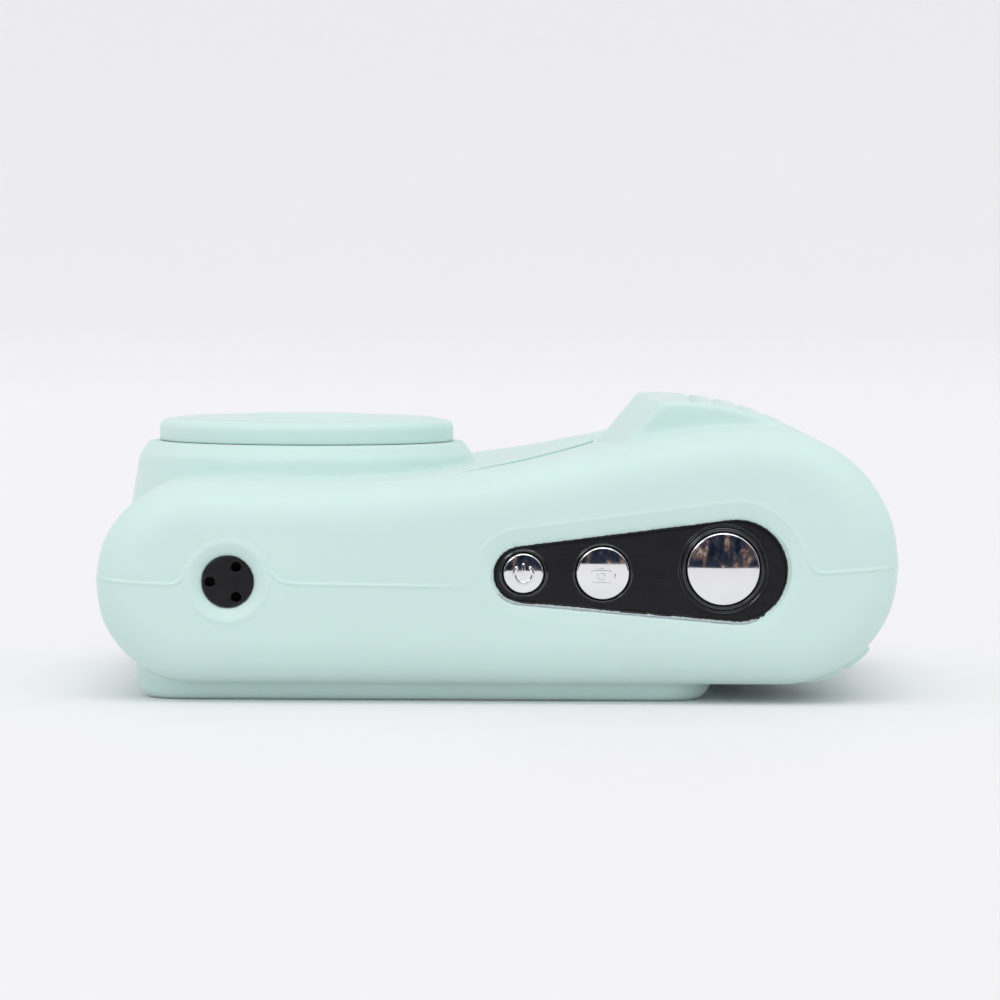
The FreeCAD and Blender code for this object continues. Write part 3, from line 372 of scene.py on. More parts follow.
def silicone():
    made = Material("mint_silicone", MINT, 0.5, Subsurface_Weight=0.10,
                    Subsurface_Radius=(1.0, 1.15, 1.05), Subsurface_Scale=0.0016,
                    Sheen_Weight=0.35, Sheen_Roughness=0.4, Specular_IOR_Level=0.45,
                    IOR=1.42)
    broad = made.noise(38, 2)
    made.colours(broad, [(0.3, scaled(MINT, 0.985)), (0.7, scaled(MINT, 1.015))])
    made.rough(made.noise(900, 4), 0.46, 0.56)
    made.bump(made.noise(5200, 2), 0.008, 0.35)
    return made.material


def black_panel():
    base = (0.0065, 0.0063, 0.0085)
    made = Material("black_panel", base, 0.34, Specular_IOR_Level=0.32)
    made.colours(made.noise(260, 4), [(0.35, scaled(base, 0.8)), (0.7, scaled(base, 1.35))])
    made.rough(made.noise(700, 5), 0.28, 0.42)
    made.bump(made.noise(5200, 2), 0.004, 0.4)
    for turn, depth in ((6, 0.013), (-14, 0.010)):
        scratches = made.noise(900, 2, stretch=(0.035, 1, 1), roughness=0.3, turn=turn)
        lines = made.ramp(scratches, [(0.60, (0, 0, 0)), (0.66, (1, 1, 1)), (0.72, (0, 0, 0))])
        made.bump(lines, depth, 0.6)
    return made.material


def gloss_black():
    base = (0.008, 0.008, 0.010)
    made = Material("gloss_black", base, 0.12, Specular_IOR_Level=0.85)
    made.colours(made.noise(300, 3), [(0.3, scaled(base, 0.8)), (0.7, scaled(base, 1.3))])
    made.rough(made.noise(800, 4), 0.08, 0.16)
    made.bump(made.noise(2500, 2), 0.003, 0.4)
    return made.material


def chrome():
    base = (0.84, 0.845, 0.86)
    made = Material("chrome", base, 0.05, Metallic=1.0)
    made.colours(made.noise(240, 4), [(0.3, scaled(base, 0.97)), (0.7, scaled(base, 1.03))])
    made.rough(made.noise(420, 5, roughness=0.7), 0.02, 0.085)
    made.bump(made.noise(900, 3), 0.0016, 0.35)
    return made.material


def plain(name, colour, roughness, grain_scale, grain_depth, sockets):
    """A moulded or machined surface with its fine grain, of a depth in millimetres."""
    made = Material(name, colour, roughness, **sockets)
    shade = made.noise(grain_scale / 12, 3)
    made.colours(shade, [(0.35, scaled(colour, 0.92)), (0.65, scaled(colour, 1.08))])
    made.rough(made.noise(grain_scale / 3, 3), roughness * 0.88, min(roughness * 1.12, 1))
    made.bump(made.noise(grain_scale, 2), grain_depth, 0.5)
    return made.material


SHOWN = {  # those of the parts that show, each with a function of its own
    "silicone": silicone,
    "black_panel": black_panel,
    "gloss_black": gloss_black,
    "chrome_button": chrome,
}
PLAIN = {  # colour, roughness, scale and depth of the grain, other sockets
    "black_shell": ((0.012, 0.012, 0.014), 0.45, 2600, 0.02, {}),
    "screen_glass": ((0.004, 0.004, 0.006), 0.07, 400, 0.0005,
                     {"Coat_Weight": 0.6, "Coat_Roughness": 0.03}),
    "clear_glass": ((0.95, 0.97, 0.98), 0.02, 300, 0.0002,
                    {"Transmission_Weight": 1.0, "IOR": 1.52}),
    "filter_glass": ((0.45, 0.75, 0.78), 0.03, 300, 0.0002, {"Transmission_Weight": 0.8}),
    "white_button": ((0.74, 0.77, 0.76), 0.35, 3000, 0.006, {}),
    "board_green": ((0.02, 0.16, 0.08), 0.3, 2400, 0.01, {}),
    "chip": ((0.02, 0.02, 0.022), 0.55, 3600, 0.01, {}),
    "steel": ((0.6, 0.61, 0.63), 0.3, 1500, 0.004, {"Metallic": 1.0}),
    "brass": ((0.72, 0.53, 0.26), 0.28, 1200, 0.006, {"Metallic": 1.0}),
    "inner_plastic": ((0.012, 0.012, 0.014), 0.45, 3000, 0.01, {}),
    # painted shade: the grey of the silicone wall below the plate in shade, with the black plate
    # reflected in it
    "painted_shade_grey": ((0.52, 0.54, 0.60), 0.35, 2500, 0.01, {}),
    "tray": ((0.42, 0.44, 0.45), 0.5, 2500, 0.012, {}),
    "cell_wrap": ((0.5, 0.53, 0.57), 0.35, 900, 0.02, {"Metallic": 0.4}),
    "ribbon": ((0.6, 0.28, 0.06), 0.3, 1500, 0.004, {}),
    "wire": ((0.45, 0.03, 0.025), 0.45, 2000, 0.006, {}),
    "card": ((0.03, 0.03, 0.035), 0.4, 3000, 0.006, {}),
}
# The speaker's dark finish is partly its own dark cone and partly painted shade in the grille's
# holes.
DARKER = {"speaker": "chip"}  # nodes seen only through small holes
made_already = {}


def material(name):
    """The material of that name, made when it is first asked for."""
    if name not in made_already:
        made_already[name] = SHOWN[name]() if name in SHOWN else plain(name, *PLAIN[name])
    return made_already[name]


def dress(piece, slot, finish=None):
    """Gives a piece its material, the one that its finish names or else its slot."""
    piece.data.materials.clear()
    piece.data.materials.append(material(finish or slot))
    return piece


def dress_cad_nodes():
    """Gives each CAD node the material that its record's slot names."""
    slots = {s["node"]: s["material_slot"] for s in frame["record"]["subparts"]}
    for name, node in frame["nodes"].items():
        node.data.materials.clear()
        node.data.materials.append(material(DARKER.get(name, slots[name])))


def finish_piece(piece, slot, body, *nodes, finish=None):
    """Dresses a piece and rides it on a body; it replaces any CAD nodes that are named."""
    dress(piece, slot, finish)
    if nodes:
        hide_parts(*nodes)
    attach(piece, body)
    return piece


# ---------------------------------------------------------------- top plate's outline
def hull_distance(x, z):
    """Signed distance from the top plate's outline; negative inside."""
    (x1, z1, r1), (x2, z2, r2) = PANEL_SMALL, PANEL_LARGE
    dx, dz = x2 - x1, z2 - z1
    length = math.hypot(dx, dz)
    along = ((x - x1) * dx + (z - z1) * dz) / length
    across = np.abs(-(x - x1) * dz + (z - z1) * dx) / length
    slope = (r1 - r2) / length
    rise = math.sqrt(1 - slope * slope)
    k = -slope * across + rise * along
    to_small = np.hypot(along, across) - r1
    to_large = np.hypot(along - length, across) - r2
    to_side = across * rise + along * slope - r1
    return np.where(k < 0, to_small, np.where(k > rise * length, to_large, to_side))


def hull_outline(spacing):
    """Points round the top plate's outline, with the outward direction at each."""
    (x1, z1, r1), (x2, z2, r2) = PANEL_SMALL, PANEL_LARGE
    tilt = math.atan2(z2 - z1, x2 - x1)
    spread = math.acos((r1 - r2) / math.hypot(x2 - x1, z2 - z1))
    upper, lower = tilt + spread, tilt - spread
    made = []

    def arc_run(x, z, radius, start, end):
        count = max(int(abs(end - start) * radius / spacing), 4)
        for i in range(count):
            angle = start + (end - start) * i / count
            out = (math.cos(angle), math.sin(angle))
            made.append(((x + radius * out[0], z + radius * out[1]), out))

    def straight_run(angle, first, second):
        out = (math.cos(angle), math.sin(angle))
        a, b = (np.array([x + r * out[0], z + r * out[1]]) for x, z, r in (first, second))
        count = max(int(np.linalg.norm(b - a) / spacing), 4)
        for i in range(count):
            made.append((tuple(a + (b - a) * i / count), out))

    arc_run(*PANEL_SMALL, upper, lower + 2 * math.pi)
    straight_run(lower, PANEL_SMALL, PANEL_LARGE)
    arc_run(*PANEL_LARGE, lower, upper)
    straight_run(upper, PANEL_LARGE, PANEL_SMALL)
    return made


def opening_middle(x):
    """Height that parts the upper wall of the plate's opening from its lower one."""
    return 18.3 + 0.02 * x


# ---------------------------------------------------------------- silicone sleeve
# The mould seam's three runs across the face that shows, as (x, z) points.
SEAM_LEFT = catmull([(-58, 17.6), (-52, 17.1), (-46.6, 16.85), (-45.0, 17.1), (-44.2, 17.9),
                     (-43.7, 19.2)])
SEAM_MIDDLE = catmull([(-32.5, 20.6), (-32.1, 19.3), (-31.4, 18.1), (-30.2, 17.35),
                       (-28, 17.0), (-20, 16.9), (-10, 16.75), (-3, 16.7)])
SEAM_RIGHT = catmull([(43.3, 22.6), (43.6, 20.8), (44.4, 19.4), (45.6, 18.9), (48, 19.0),
                      (52, 19.3), (58, 19.75)])


def near_features(p):
    """Where the near face needs finer faces: its openings, creases and seam."""
    x, y, z = p.T
    panel = np.abs(hull_distance(x, z) - 1.3) < 2.0
    ring = np.abs(np.hypot(x - GRILLE[0], z - GRILLE[1]) - 5.0) < 1.7
    seam = np.minimum.reduce([polyline_distance(x, z, line)
                              for line in (SEAM_LEFT, SEAM_MIDDLE, SEAM_RIGHT)]) < 0.7
    return (y < -37.3) & (panel | ring | seam)


def seam_height(x):
    """Height of the seam's loop round the ends and the base."""
    low, high = SEAM_ENDS
    return low + (high - low) * (x + HALF_LENGTH) / (2 * HALF_LENGTH)


def seam_features(p):
    """The seam round the ends and the base, and the crease beside the plinth."""
    x, y, z = p.T
    loop = (np.abs(z - seam_height(x)) < 0.8) & ((np.abs(x) > 52) | (y > 38))
    crease = (np.abs(crease_distance(x, y)) < 1.1) & (z > 30.5) & (np.abs(y) < 36) & (x < 17)
    return (loop & (y > -38.9)) | crease


def crease_features(p):
    """The part of that crease on the side of the camera's top face."""
    x, y, z = p.T
    return (np.abs(crease_distance(x, y) - 0.3) < 1.0) & (z > 31) & (y < 2) & (x < 17)


def lens_angle(x, y):
    """Angle round the lens axis, in degrees from the camera's width, alike on both sides."""
    return np.degrees(np.arctan2(np.abs(y), x - LENS_X))


def crease_distance(x, y):
    """Distance outward from the shallow step that runs round the lens surround."""
    return np.hypot(x - LENS_X, y) - (38.2 + 0.085 * (61 - lens_angle(x, y)))


def soften_weights(points):
    """How strongly each part of the sleeve is evened out."""
    x, y, z = points.T
    reach = np.hypot(x - LENS_X, y)
    plinth_foot = bump_at(reach - 27.0, 2.0) * (z > 29)
    plinth_top = (reach < 25) & (z > 34)
    return 1 - 0.8 * np.maximum(plinth_foot, plinth_top)


def dish_near_face(points):
    """How far the dished margins and their rims stand out of the face that shows."""
    x, y, z = points.T
    margin_width, margin_depth, margin_rim = 2.35, 0.42, 0.085
    recess_floor, recess_edge, recess_depth, recess_rim = 3.4, 5.5, 0.75, 0.11
    gap = hull_distance(x, z)
    upper = smoothstep(-2.0, 5.0, z - opening_middle(x))
    height = -margin_depth * (1 - smoothstep(0.0, margin_width, gap)) * (0.5 + 0.5 * upper)
    height += margin_rim * (0.1 + 0.9 * upper) * bump_at(gap - margin_width - 0.15, 0.28)
    ring = np.hypot(x - GRILLE[0], z - GRILLE[1])
    height -= recess_depth * (1 - smoothstep(recess_floor, recess_edge, ring))
    height += recess_rim * bump_at(ring - recess_edge - 0.15, 0.42)
    return height * smoothstep(-36.9, -37.9, y)


def near_seam(points, facing):
    """The mould seam's bead on the face that shows."""
    x, y, z = points.T
    height = np.zeros(len(points))
    # The middle run dies away toward the plate, and each bead has a faint hollow beside it.
    for line, fade in ((SEAM_LEFT, 1.0), (SEAM_MIDDLE, smoothstep(-2.0, -12.0, x)),
                       (SEAM_RIGHT, 1.0)):
        distance = polyline_distance(x, z, line)
        height += fade * (0.14 * bump_at(distance, 0.2) - 0.03 * bump_at(distance - 0.5, 0.3))
    return np.where((y < NEAR_EDGE) & (facing[:, 1] < -0.3), height, 0.0)


def displace_elsewhere(points, facing):
    """The seam's loop round the body, the crease near the lens surround, and the grooves
    that leave the thumb rest ribbed."""
    x, y, z = points.T
    outward = np.abs(facing[:, 2]) < 0.7
    loop = outward & (y > NEAR_EDGE) & ((np.abs(x) > 51) | (y > 37.5))
    height = np.where(loop, 0.12 * bump_at(z - seam_height(x), 0.26), 0.0)
    gap = crease_distance(x, y)
    angle = lens_angle(x, y)
    ends = smoothstep(64, 45, angle) * smoothstep(5, 8, angle)
    step, groove, lip = 0.42, 0.34, 0.10
    crease = step * (1 - smoothstep(-0.22, 0.22, gap)) * smoothstep(-9, -0.2, gap)
    crease -= groove * bump_at(gap - 0.42, 0.24)
    crease += lip * bump_at(gap - 1.0, 0.35)
    top = (facing[:, 2] > 0.5) & (z > 30.5) & (z < 37.0)
    height += np.where(top, crease * ends, 0.0)
    width, depth = 0.5, 0.5
    grooves = sum(bump_at(x - middle, width) for middle in GRIP_GROOVES)
    crown = (facing[:, 2] > 0.6) & (z > 38.0)
    span = smoothstep(-29.5, -27.5, y) * smoothstep(20, 16, y)
    height -= np.where(crown, depth * grooves * span, 0.0)
    return height


def drawn_in(points):
    """Leaves room inside the body's overall size for the mould seam's bead."""
    margin = 1.3  # how deep the drawing in reaches
    made = points.copy()
    for axis, limit in ((0, HALF_LENGTH), (1, HALF_DEPTH)):
        place = points[:, axis]
        near_limit = smoothstep(limit - margin, limit, np.abs(place))
        made[:, axis] -= SEAM_RISE * np.sign(place) * near_limit
    made[:, 2] = np.maximum(made[:, 2], 0)
    return made


def undercut_crease(points):
    """Pushes the crease's lip outward over its groove, so that the groove is in shade."""
    x, y, z = points.T
    gap = crease_distance(x, y)
    angle = lens_angle(x, y)
    overhang = 0.36
    shift = overhang * (bump_at(gap + 0.22, 0.3) - bump_at(gap - 0.36, 0.26))
    shift *= smoothstep(62, 40, angle) * smoothstep(5, 8, angle)
    shift *= (z > 30.5) & (z < 37.2) & (y < 3) & (x < 17)
    reach = np.hypot(x - LENS_X, y)
    out = np.stack([(x - LENS_X) / reach, y / reach, np.zeros(len(x))], 1)
    return points + out * shift[:, None]


def slant_opening(points):
    """Cuts the lower and right wall of the top plate's opening at a slant, and leaves
    small nicks where the mould's flash was torn off."""
    x, y, z = points.T
    gap = hull_distance(x, z)
    wall = (np.abs(gap) < 0.45) & (y < PANEL_FACE + 0.6) & (y > NEAR_FACE - 0.3)
    lower = smoothstep(1.5, -1.5, z - opening_middle(x))
    right = smoothstep(35, 38, x) * smoothstep(6.5, 3.0, z - 19)
    amount = np.where(wall, np.maximum(lower, right), 0) * smoothstep(0.45, 0.1, gap)
    lean = OPENING_SLANT * smoothstep(PANEL_FACE, NEAR_FACE, y)
    nicks = 0.035 * np.sin(x * 5.3 + 2 * np.sin(x * 1.7)) * np.sin(z * 4.1 + x * 2.3)
    shift = np.where(wall, nicks, 0.0) + amount * lean
    reach = 0.01
    out_x = hull_distance(x + reach, z) - hull_distance(x - reach, z)
    out_z = hull_distance(x, z + reach) - hull_distance(x, z - reach)
    out = np.stack([out_x, np.zeros(len(x)), out_z], 1) / (2 * reach)
    return points + out * shift[:, None]


def build_sleeve():
    """The silicone skin: the CAD's sleeve made dense and even, then given its relief."""
    voxel = 0.42
    piece = remeshed("sleeve", "silicone_sleeve", voxel)
    mesh = piece.data
    points = coordinates(mesh)
    points = relax(points, edge_pairs(mesh), 6, soften_weights(points))
    # The grip's top and its two ends are rounder than the rest.
    x, y, z = points.T
    grip = smoothstep(11, 14, x) * smoothstep(34.5, 36.5, z)
    near_end = grip * smoothstep(-22, -27, y) * smoothstep(-36, -33.5, y)
    points = relax(points, edge_pairs(mesh), 7, np.maximum(near_end, grip * 0.4), shrink=True)
    far_end = grip * smoothstep(17, 23, y) * smoothstep(34, 31, y)
    points = relax(points, edge_pairs(mesh), 24, 0.8 * far_end, shrink=True)
    set_coordinates(mesh, points)
    refine(mesh, near_features, 2)
    refine(mesh, seam_features, 1)
    refine(mesh, crease_features, 1)
    points = coordinates(mesh)
    facing = normals(mesh)
    points = drawn_in(points)
    lift = near_seam(points, facing) + displace_elsewhere(points, facing)
    points = points + facing * lift[:, None]
    points[:, 1] -= dish_near_face(points)
    points = undercut_crease(points)
    set_coordinates(mesh, slant_opening(points))
    finish_piece(piece, "silicone", "camera", "silicone_sleeve")


# ---------------------------------------------------------------- lens cap
def build_cap():
    """A press-on silicone cap: a rounded disc with a shallow step and a low oblong pad."""
    top, disc_top, pad_top, bottom = 39.0, 39.28, 39.85, 35.87
    edge, bore, bore_top, chamfer = 1.25, 19.05, 37.9, 0.3
    groove_radius, groove_depth = 19.75, 0.14
    pad_straight, pad_round = 4.8, 3.9
    # The top's rings have no one height, since the pad's relief changes round them.
    profile = [(r, None) for r in np.linspace(0.5, CAP_RADIUS - edge, 52)]
    for i in range(1, 11):
        angle = math.pi / 2 * i / 10
        profile.append((CAP_RADIUS - edge + edge * math.sin(angle),
                        top - edge + edge * math.cos(angle)))
    profile += [(CAP_RADIUS, z) for z in (37.1, 36.5, 36.1)]
    profile += [(CAP_RADIUS - 0.07, bottom + 0.07), (CAP_RADIUS - 0.25, bottom)]
    profile += [(bore + chamfer, bottom), (bore, bottom + chamfer), (bore, bore_top - chamfer),
                (bore - chamfer, bore_top)]
    profile += [(r, bore_top) for r in (14.0, 8.0, 3.0)]
    segments = 224
    points = [(LENS_X, 0, pad_top)]
    rings = []
    for radius, z in profile:
        rings.append(list(range(len(points), len(points) + segments)))
        for i in range(segments):
            angle = 2 * math.pi * i / segments
            dx, y = radius * math.cos(angle), radius * math.sin(angle)
            height = z
            if z is None:
                step = 1 - smoothstep(groove_radius - 0.6, groove_radius - 0.15, radius)
                groove = groove_depth * bump_at(radius - groove_radius, 0.26)
                side = math.hypot(max(abs(dx) - pad_straight, 0), y) - pad_round
                pad = 1 - smoothstep(-0.75, 0.75, side)
                height = top + (disc_top - top) * step - groove + (pad_top - disc_top) * pad
            points.append((LENS_X + dx, y, height))
    last = len(points)
    points.append((LENS_X, 0, bore_top))
    faces = []
    for i in range(segments):
        j = (i + 1) % segments
        faces.append((0, rings[0][i], rings[0][j]))
        faces.append((last, rings[-1][j], rings[-1][i]))
        for a, b in zip(rings, rings[1:]):
            faces.append((a[i], b[i], b[j], a[j]))
    finish_piece(mesh_piece("cap", points, faces), "silicone", "cap", "lens_cap")


# ---------------------------------------------------------------- top plate
EDGE_SPACING = 0.12  # between points along the plate's edge


def build_top_plate():
    """The satin black plate, with a turned collar round each button."""
    voxel = 0.24
    plate = remeshed("plate", "top_plate", voxel)
    mesh = plate.data
    points = coordinates(mesh)
    points[:, 1] = np.maximum(points[:, 1], PANEL_FACE)
    points = relax(points, edge_pairs(mesh), 2, np.ones(len(points)))
    set_coordinates(mesh, points)
    finish_piece(plate, "black_panel", "camera", "top_plate")
    collars = {  # each one's section: radius, and depth behind the plate's face
        "shutter": [(5.31, 0.6), (5.31, -0.30), (5.37, -0.42), (5.50, -0.50), (5.66, -0.48),
                    (5.80, -0.36), (5.92, -0.16), (6.04, -0.06), (6.16, -0.12),
                    (6.28, -0.18), (6.38, -0.10), (6.44, 0.04), (6.44, 0.6)],
        "mode": [(3.92, 0.6), (3.92, -0.05), (3.97, -0.13), (4.06, -0.16), (4.16, -0.10),
                 (4.23, -0.03), (4.27, 0.04), (4.27, 0.6)],
        "power": [(3.02, 0.6), (3.02, -0.05), (3.07, -0.13), (3.16, -0.16), (3.27, -0.12),
                  (3.36, -0.07), (3.44, -0.02), (3.48, 0.04), (3.48, 0.6)],
    }
    for name, profile in collars.items():
        x, z = BUTTONS[name][:2]
        profile = [(r, PANEL_FACE + rise) for r, rise in catmull(profile, 4)]
        collar = lathe(f"{name}_collar", profile + profile[:1], x, z)
        finish_piece(collar, "black_panel", "camera", finish="gloss_black")


def build_flash():
    """The thin ragged edge of black that creeps over the slanted wall below the plate."""
    outline = hull_outline(EDGE_SPACING)
    count = len(outline)
    tear = 14  # points from one random height of the edge to the next
    heights = random.random(count // tear + 2)
    wave = np.interp(np.arange(count) / tear, np.arange(len(heights)), heights)
    inner = -0.3
    depth = PANEL_FACE - NEAR_FACE
    points = []
    for i, ((x, z), (ox, oz)) in enumerate(outline):
        lower = smoothstep(0.3, -0.5, oz) * smoothstep(-0.5, 1.0, x)
        right = smoothstep(0.5, 0.95, ox) * 0.7 * (x > 20)
        torn = max(lower, right)
        jump = smoothstep(0.42, 0.47, wave[i]) * 0.07 + smoothstep(0.70, 0.76, wave[i]) * 0.11
        reach = 0.02 + torn * jump
        slant = PANEL_FACE - depth * reach / OPENING_SLANT * torn
        for offset, y in ((inner, PANEL_FACE - 0.02), (reach, slant - 0.06),
                          (reach + 0.02, slant + 0.1), (inner, PANEL_FACE + 0.3)):
            points.append((x + ox * offset, y, z + oz * offset))
    faces = []
    for i in range(count):
        j = (i + 1) % count
        for k in range(4):
            m = (k + 1) % 4
            faces.append((4 * i + k, 4 * i + m, 4 * j + m, 4 * j + k))
    finish_piece(mesh_piece("plate_edge", points, faces), "black_panel", "camera")


def build_plate_rim():
    """Painted shade and a painted reflection: a pale grey strip along the plate's lower edge,
    standing for the silicone wall of the opening there in the plate's shade, with the black
    plate seen in it.
    """
    half_width = 0.08
    points = []
    for i, ((x, z), (ox, oz)) in enumerate(hull_outline(EDGE_SPACING)):
        if oz >= -0.6 or not 0.3 < x < 36.5:
            continue
        middle = 0.17 + 0.03 * math.sin(i * 0.31) * math.sin(i * 0.083)
        inner, outer = middle - half_width, middle + half_width
        for offset, y in ((inner, -0.52), (outer, -0.86), (outer, 0.0), (inner, 0.2)):
            points.append((x + ox * offset, PANEL_FACE + y, z + oz * offset))
    faces = []
    for first in range(0, len(points) - 4, 4):
        for k in range(4):
            m = (k + 1) % 4
            faces.append((first + k, first + m, first + 4 + m, first + 4 + k))
    faces += [(3, 2, 1, 0), tuple(len(points) - 4 + k for k in range(4))]
    finish_piece(mesh_piece("plate_rim", points, faces), "black_panel", "camera",
                 finish="painted_shade_grey")


def dome_y(name, distance, dz):
    """Where a button's domed face is along Y, at a distance from its axis."""
    _, _, radius, rim, dome, lean = BUTTONS[name]
    flat = radius - BUTTON_EDGE
    crown = flat * flat / (2 * dome)
    return (rim - BUTTON_RISE - crown + distance * distance / (2 * dome)
            + math.tan(math.radians(lean)) * dz)


def build_button(name):
    """A chromed cap: a shallow dome, a rounded rim, a skirt, and its flange and stem."""
    x, z, radius, _, _, lean = BUTTONS[name]
    low, high = (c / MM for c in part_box(f"{name}_button"))
    flange, stem_end = (high.x - low.x) / 2, high.y
    flat = radius - BUTTON_EDGE
    profile = [(r, dome_y(name, r, 0)) for r in np.linspace(0, flat, 26)]
    edge = profile[-1][1]
    edge_depth, chamfer, steps = 0.42, 0.1, 8
    for i in range(1, steps + 1):
        angle = math.pi / 2 * i / steps
        profile.append((flat + BUTTON_EDGE * math.sin(angle),
                        edge + edge_depth * (1 - math.cos(angle))))
    profile += [(radius, -37.0), (radius, FLANGE_NEAR), (flange - chamfer, FLANGE_NEAR),
                (flange, FLANGE_NEAR + chamfer), (flange, FLANGE_FAR - chamfer),
                (flange - chamfer, FLANGE_FAR), (STEM_RADIUS, FLANGE_FAR),
                (STEM_RADIUS, stem_end), (0, stem_end)]
    piece = lathe(f"{name}_cap", profile, x, z, 160, lean)
    finish_piece(piece, "chrome_button", name, f"{name}_button")


def icon(name, button, path, width, height, closed=False):
    """A low raised line on a button's domed face."""
    x, z = BUTTONS[button][:2]

    def surface(u, v, h):
        return (x + u, dome_y(button, math.hypot(u, v), v) - h, z + v)

    piece = bead(name, path, width, height, surface, closed)
    finish_piece(piece, "chrome_button", button)


def circle(x, z, radius, start=0, end=360, steps=40):
    """Points on a circle, or on an arc of it from start to end in degrees."""
    angles = np.radians(np.linspace(start, end, steps, endpoint=end - start < 360))
    return [(x + radius * math.cos(a), z + radius * math.sin(a)) for a in angles]


def round_box(x, z, half_width, half_height, corner):
    """Points round an oblong with rounded corners."""
    made = []
    for sx, sz, start in ((1, 1, 0), (-1, 1, 90), (-1, -1, 180), (1, -1, 270)):
        made += circle(x + sx * (half_width - corner), z + sz * (half_height - corner),
                       corner, start, start + 90, 6)
    return made


def build_icons():
    """The signs on the buttons: a broken ring with a bar, and a small camera."""
    width, height = 0.46, 0.13
    icon("power_ring", "power", circle(0, -0.1, 1.3, 126, 414), width, height)
    icon("power_bar", "power", [(0, z) for z in np.linspace(1.45, -0.3, 10)], width, height)
    width, height = 0.2, 0.03
    body = round_box(-0.2, -0.45, 1.3, 0.86, 0.25)
    hump = [(-0.75, 0.45), (-0.62, 0.72), (0.1, 0.72), (0.22, 0.45)]
    side = [(1.3, -0.1), (1.7, 0.12), (1.7, -1.0), (1.3, -0.8)]
    icon("camera_body", "mode", body, 0.22, height, True)
    icon("camera_lens", "mode", circle(-0.2, -0.45, 0.48), width, height, True)
    icon("camera_hump", "mode", hump, width, height)
    icon("camera_side", "mode", side, width, height)


# ---------------------------------------------------------------- smaller parts
def build_softened():
    """CAD parts that only need their sharp edges eased."""
    jobs = [  # piece, node, slot, body, size of a voxel, rounds of evening
        ("grille", "speaker_grille", "black_panel", "camera", 0.11, 3),
        ("trim_ring", "lens_trim_ring", "black_shell", "camera", 0.28, 2),
    ]
    for key in ("menu", "up", "ok", "down"):
        jobs.append((f"{key}_key_top", f"{key}_button", "white_button", f"{key}_key", 0.13, 4))
    coarser = 1
    for name, node, slot, body, voxel, rounds in jobs:
        piece = remeshed(name, node, voxel * coarser)
        points = coordinates(piece.data)
        points = relax(points, edge_pairs(piece.data), rounds, np.ones(len(points)))
        set_coordinates(piece.data, points)
        finish_piece(piece, slot, body, node)


def build_key_icons():
    """Printed signs on the four keys beside the display: lines, arrows and a ring."""
    signs = {
        "menu": [([(-1.0, v), (1.0, v)], False) for v in (-0.6, 0.0, 0.6)],
        "up": [([(-0.9, 0.5), (0, -0.7), (0.9, 0.5)], False)],
        "ok": [(circle(0, 0, 0.85), True)],
        "down": [([(-0.9, -0.5), (0, 0.7), (0.9, -0.5)], False)],
    }
    width, height, sunk = 0.26, 0.05, 0.035
    for key, lines in signs.items():
        low, high = (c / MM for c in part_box(f"{key}_button"))
        middle = (low + high) / 2

        def surface(u, v, h, middle=middle, low=low):
            return (middle.x + u, middle.y + v, low.z + sunk - h)

        for i, (path, closed) in enumerate(lines):
            sign = bead(f"{key}_sign_{i}", path, width, height, surface, closed)
            finish_piece(sign, "black_shell", f"{key}_key")


# ---------------------------------------------------------------- stage, light, camera
# The floor's sizes are in metres. Behind CURVE_START it curves up into a wall.
FLOOR_FRONT, FLOOR_HALF_WIDTH = -1.4, 4.0
CURVE_START, CURVE_RADIUS, BACKDROP_TOP = 1.2, 1.0, 3.2


def strip_faces(count):
    """The faces of a strip made of that many pairs of points."""
    return [(2 * i, 2 * i + 1, 2 * i + 3, 2 * i + 2) for i in range(count - 1)]


def build_stage():
    """A white floor that curves up into a backdrop, and is greyer the higher it is: painted
    shade for the light that falls off up the backdrop.
    """
    base = (0.865, 0.862, 0.868)
    made = Material("floor", base, 0.7, Specular_IOR_Level=0.2)
    height = made.node("ShaderNodeSeparateXYZ")
    made.link(made.place, height.inputs["Vector"])
    # The greying with height is painted shade.
    made.colours(height.outputs["Z"], [(0.0, base), (0.0145, scaled(base, 0.957)),
                                       (0.023, scaled(base, 0.948)), (0.042, scaled(base, 0.90)),
                                       (0.086, scaled(base, 0.884)), (0.25, scaled(base, 0.87))])
    made.bump(made.noise(900, 2), 0.01, 0.2)
    mesh = bpy.data.meshes.new("floor")
    rows = [(FLOOR_FRONT, 0.0)]
    steps = 48
    for i in range(steps + 1):
        angle = math.radians(90 * i / steps)
        rows.append((CURVE_START + CURVE_RADIUS * math.sin(angle),
                     CURVE_RADIUS - CURVE_RADIUS * math.cos(angle)))
    rows.append((CURVE_START + CURVE_RADIUS, BACKDROP_TOP))
    points = [(x, y, z) for y, z in rows for x in (-FLOOR_HALF_WIDTH, FLOOR_HALF_WIDTH)]
    mesh.from_pydata(points, [], strip_faces(len(rows)))
    mesh.shade_smooth()
    mesh.materials.append(made.material)
    link("floor", mesh)


def shiny_only(piece):
    """Leaves a piece of the stage visible in reflections and nowhere else."""
    piece.visible_camera = False
    piece.visible_diffuse = False
    piece.visible_transmission = False
    piece.visible_shadow = False


def emitter(name, strength):
    """A glowing material, and the socket that takes its colour."""
    made = Material(name, (0, 0, 0), 1.0, Specular_IOR_Level=0.0, Emission_Strength=strength)
    return made, made.shader.inputs["Emission Color"]


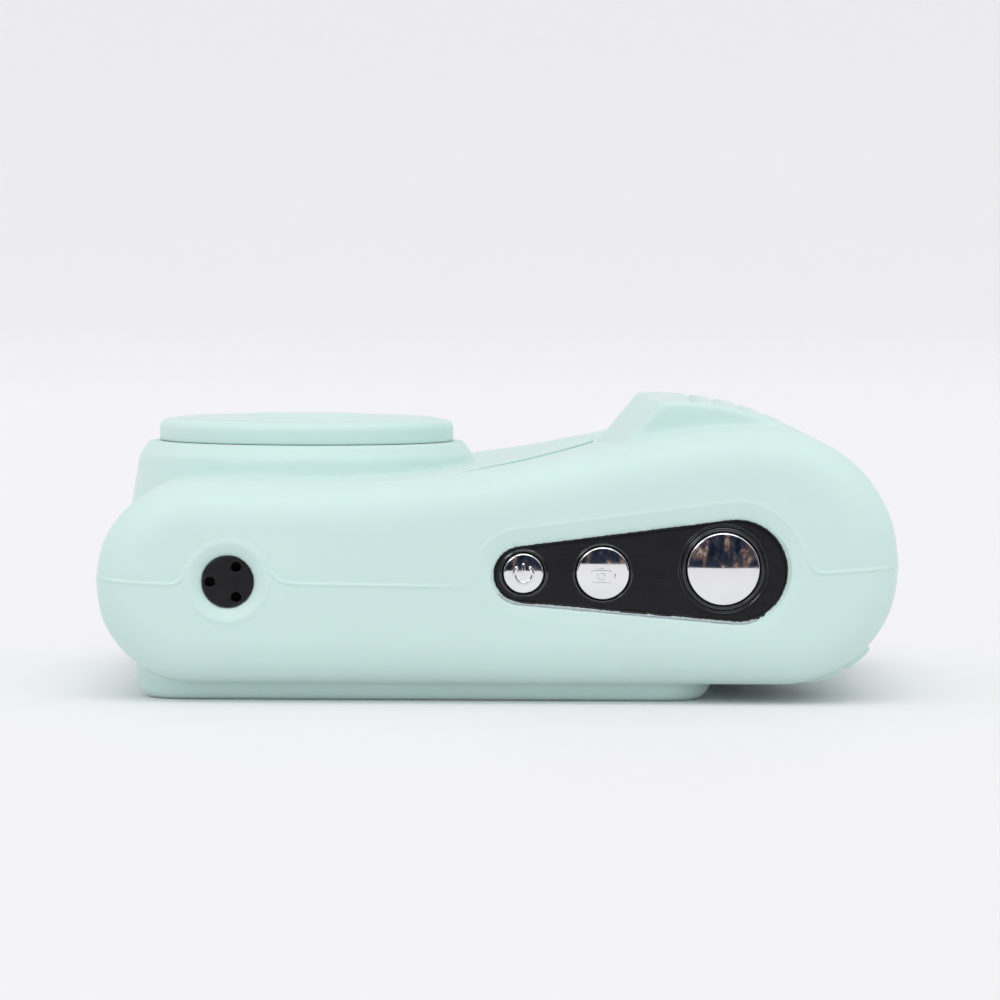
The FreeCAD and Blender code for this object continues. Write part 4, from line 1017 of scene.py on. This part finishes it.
def build_room():
    """A dim room in front of the table, and a bright window high up on its left."""
    made, glow = emitter("room", 1.0)
    patches = made.noise(22.0, 5, stretch=(1.5, 1.0, 0.8), roughness=0.65)
    colour = made.ramp(patches, [(0.36, (0.006, 0.009, 0.018)), (0.50, (0.028, 0.035, 0.060)),
                                 (0.57, (0.110, 0.075, 0.070)), (0.63, (0.36, 0.24, 0.17)),
                                 (0.70, (0.50, 0.52, 0.58))])
    made.link(colour, glow)
    half_width, depth, low, high = 0.36 * 1.35, 0.36, 0.001, 0.23
    steps, half_turn = 32, 75
    points = []
    for i in range(steps + 1):
        angle = math.radians(-90 - half_turn + 2 * half_turn * i / steps)
        x = half_width * math.cos(angle)
        y = NEAR_FACE * MM + depth * math.sin(angle)
        points += [(x, y, low), (x, y, high)]
    mesh = bpy.data.meshes.new("room")
    mesh.from_pydata(points, [], strip_faces(steps + 1))
    mesh.materials.append(made.material)
    shiny_only(link("room", mesh))
    made, glow = emitter("window", 9.0)
    made.link(made.ramp(made.noise(1.5, 2), [(0.3, (0.92, 0.96, 1.0)), (0.7, (1, 1, 1))]), glow)
    wide, tall = 0.14, 0.10
    mesh = bpy.data.meshes.new("window")
    mesh.from_pydata([(-wide, -tall, 0), (wide, -tall, 0), (wide, tall, 0), (-wide, tall, 0)],
                     [], [(0, 1, 2, 3)])
    mesh.materials.append(made.material)
    window = link("window", mesh)
    place = Vector((-0.42, -0.55, 0.42))
    window.matrix_world = (Matrix.Translation(place)
                           @ place.to_track_quat("Z", "Y").to_matrix().to_4x4())
    shiny_only(window)


def build_lights():
    """An even white surround, and a broad soft light from above and in front."""
    world = bpy.data.worlds.new("studio")
    bpy.context.scene.world = world
    world.use_nodes = True
    background = world.node_tree.nodes["Background"]
    background.inputs["Color"].default_value = (0.99, 0.985, 1.0, 1)
    background.inputs["Strength"].default_value = 0.85
    light = bpy.data.lights.new("overhead", "SUN")
    light.energy = 0.85
    light.angle = math.radians(50)
    holder = bpy.data.objects.new("overhead", light)
    bpy.context.scene.collection.objects.link(holder)
    toward = Vector((0.02, -0.5, 1.0))
    holder.rotation_euler = toward.to_track_quat("Z", "Y").to_euler()


def build_camera():
    """The view: a long lens that faces the top face, from a little above it."""
    data = bpy.data.cameras.new("camera")
    data.sensor_width = 36
    data.lens = 154.3
    data.clip_start = 0.01
    camera = bpy.data.objects.new("view", data)
    bpy.context.scene.collection.objects.link(camera)
    tilt, roll = math.radians(2.867), math.radians(0.27)
    camera.matrix_world = (
        Matrix.Translation(Vector((0.35, -639.0, 59.0)) * MM)
        @ Matrix.Rotation(math.pi / 2 - tilt, 4, "X")
        @ Matrix.Rotation(roll, 4, "Z")
    )
    bpy.context.scene.camera = camera


# ---------------------------------------------------------------- build
bpy.context.scene.view_settings.view_transform = "Standard"
build_camera()
build_stage()
build_room()
build_lights()
dress_cad_nodes()
build_sleeve()
build_cap()
build_top_plate()
build_flash()
build_plate_rim()
for button in BUTTONS:
    build_button(button)
build_icons()
build_softened()
build_key_icons()
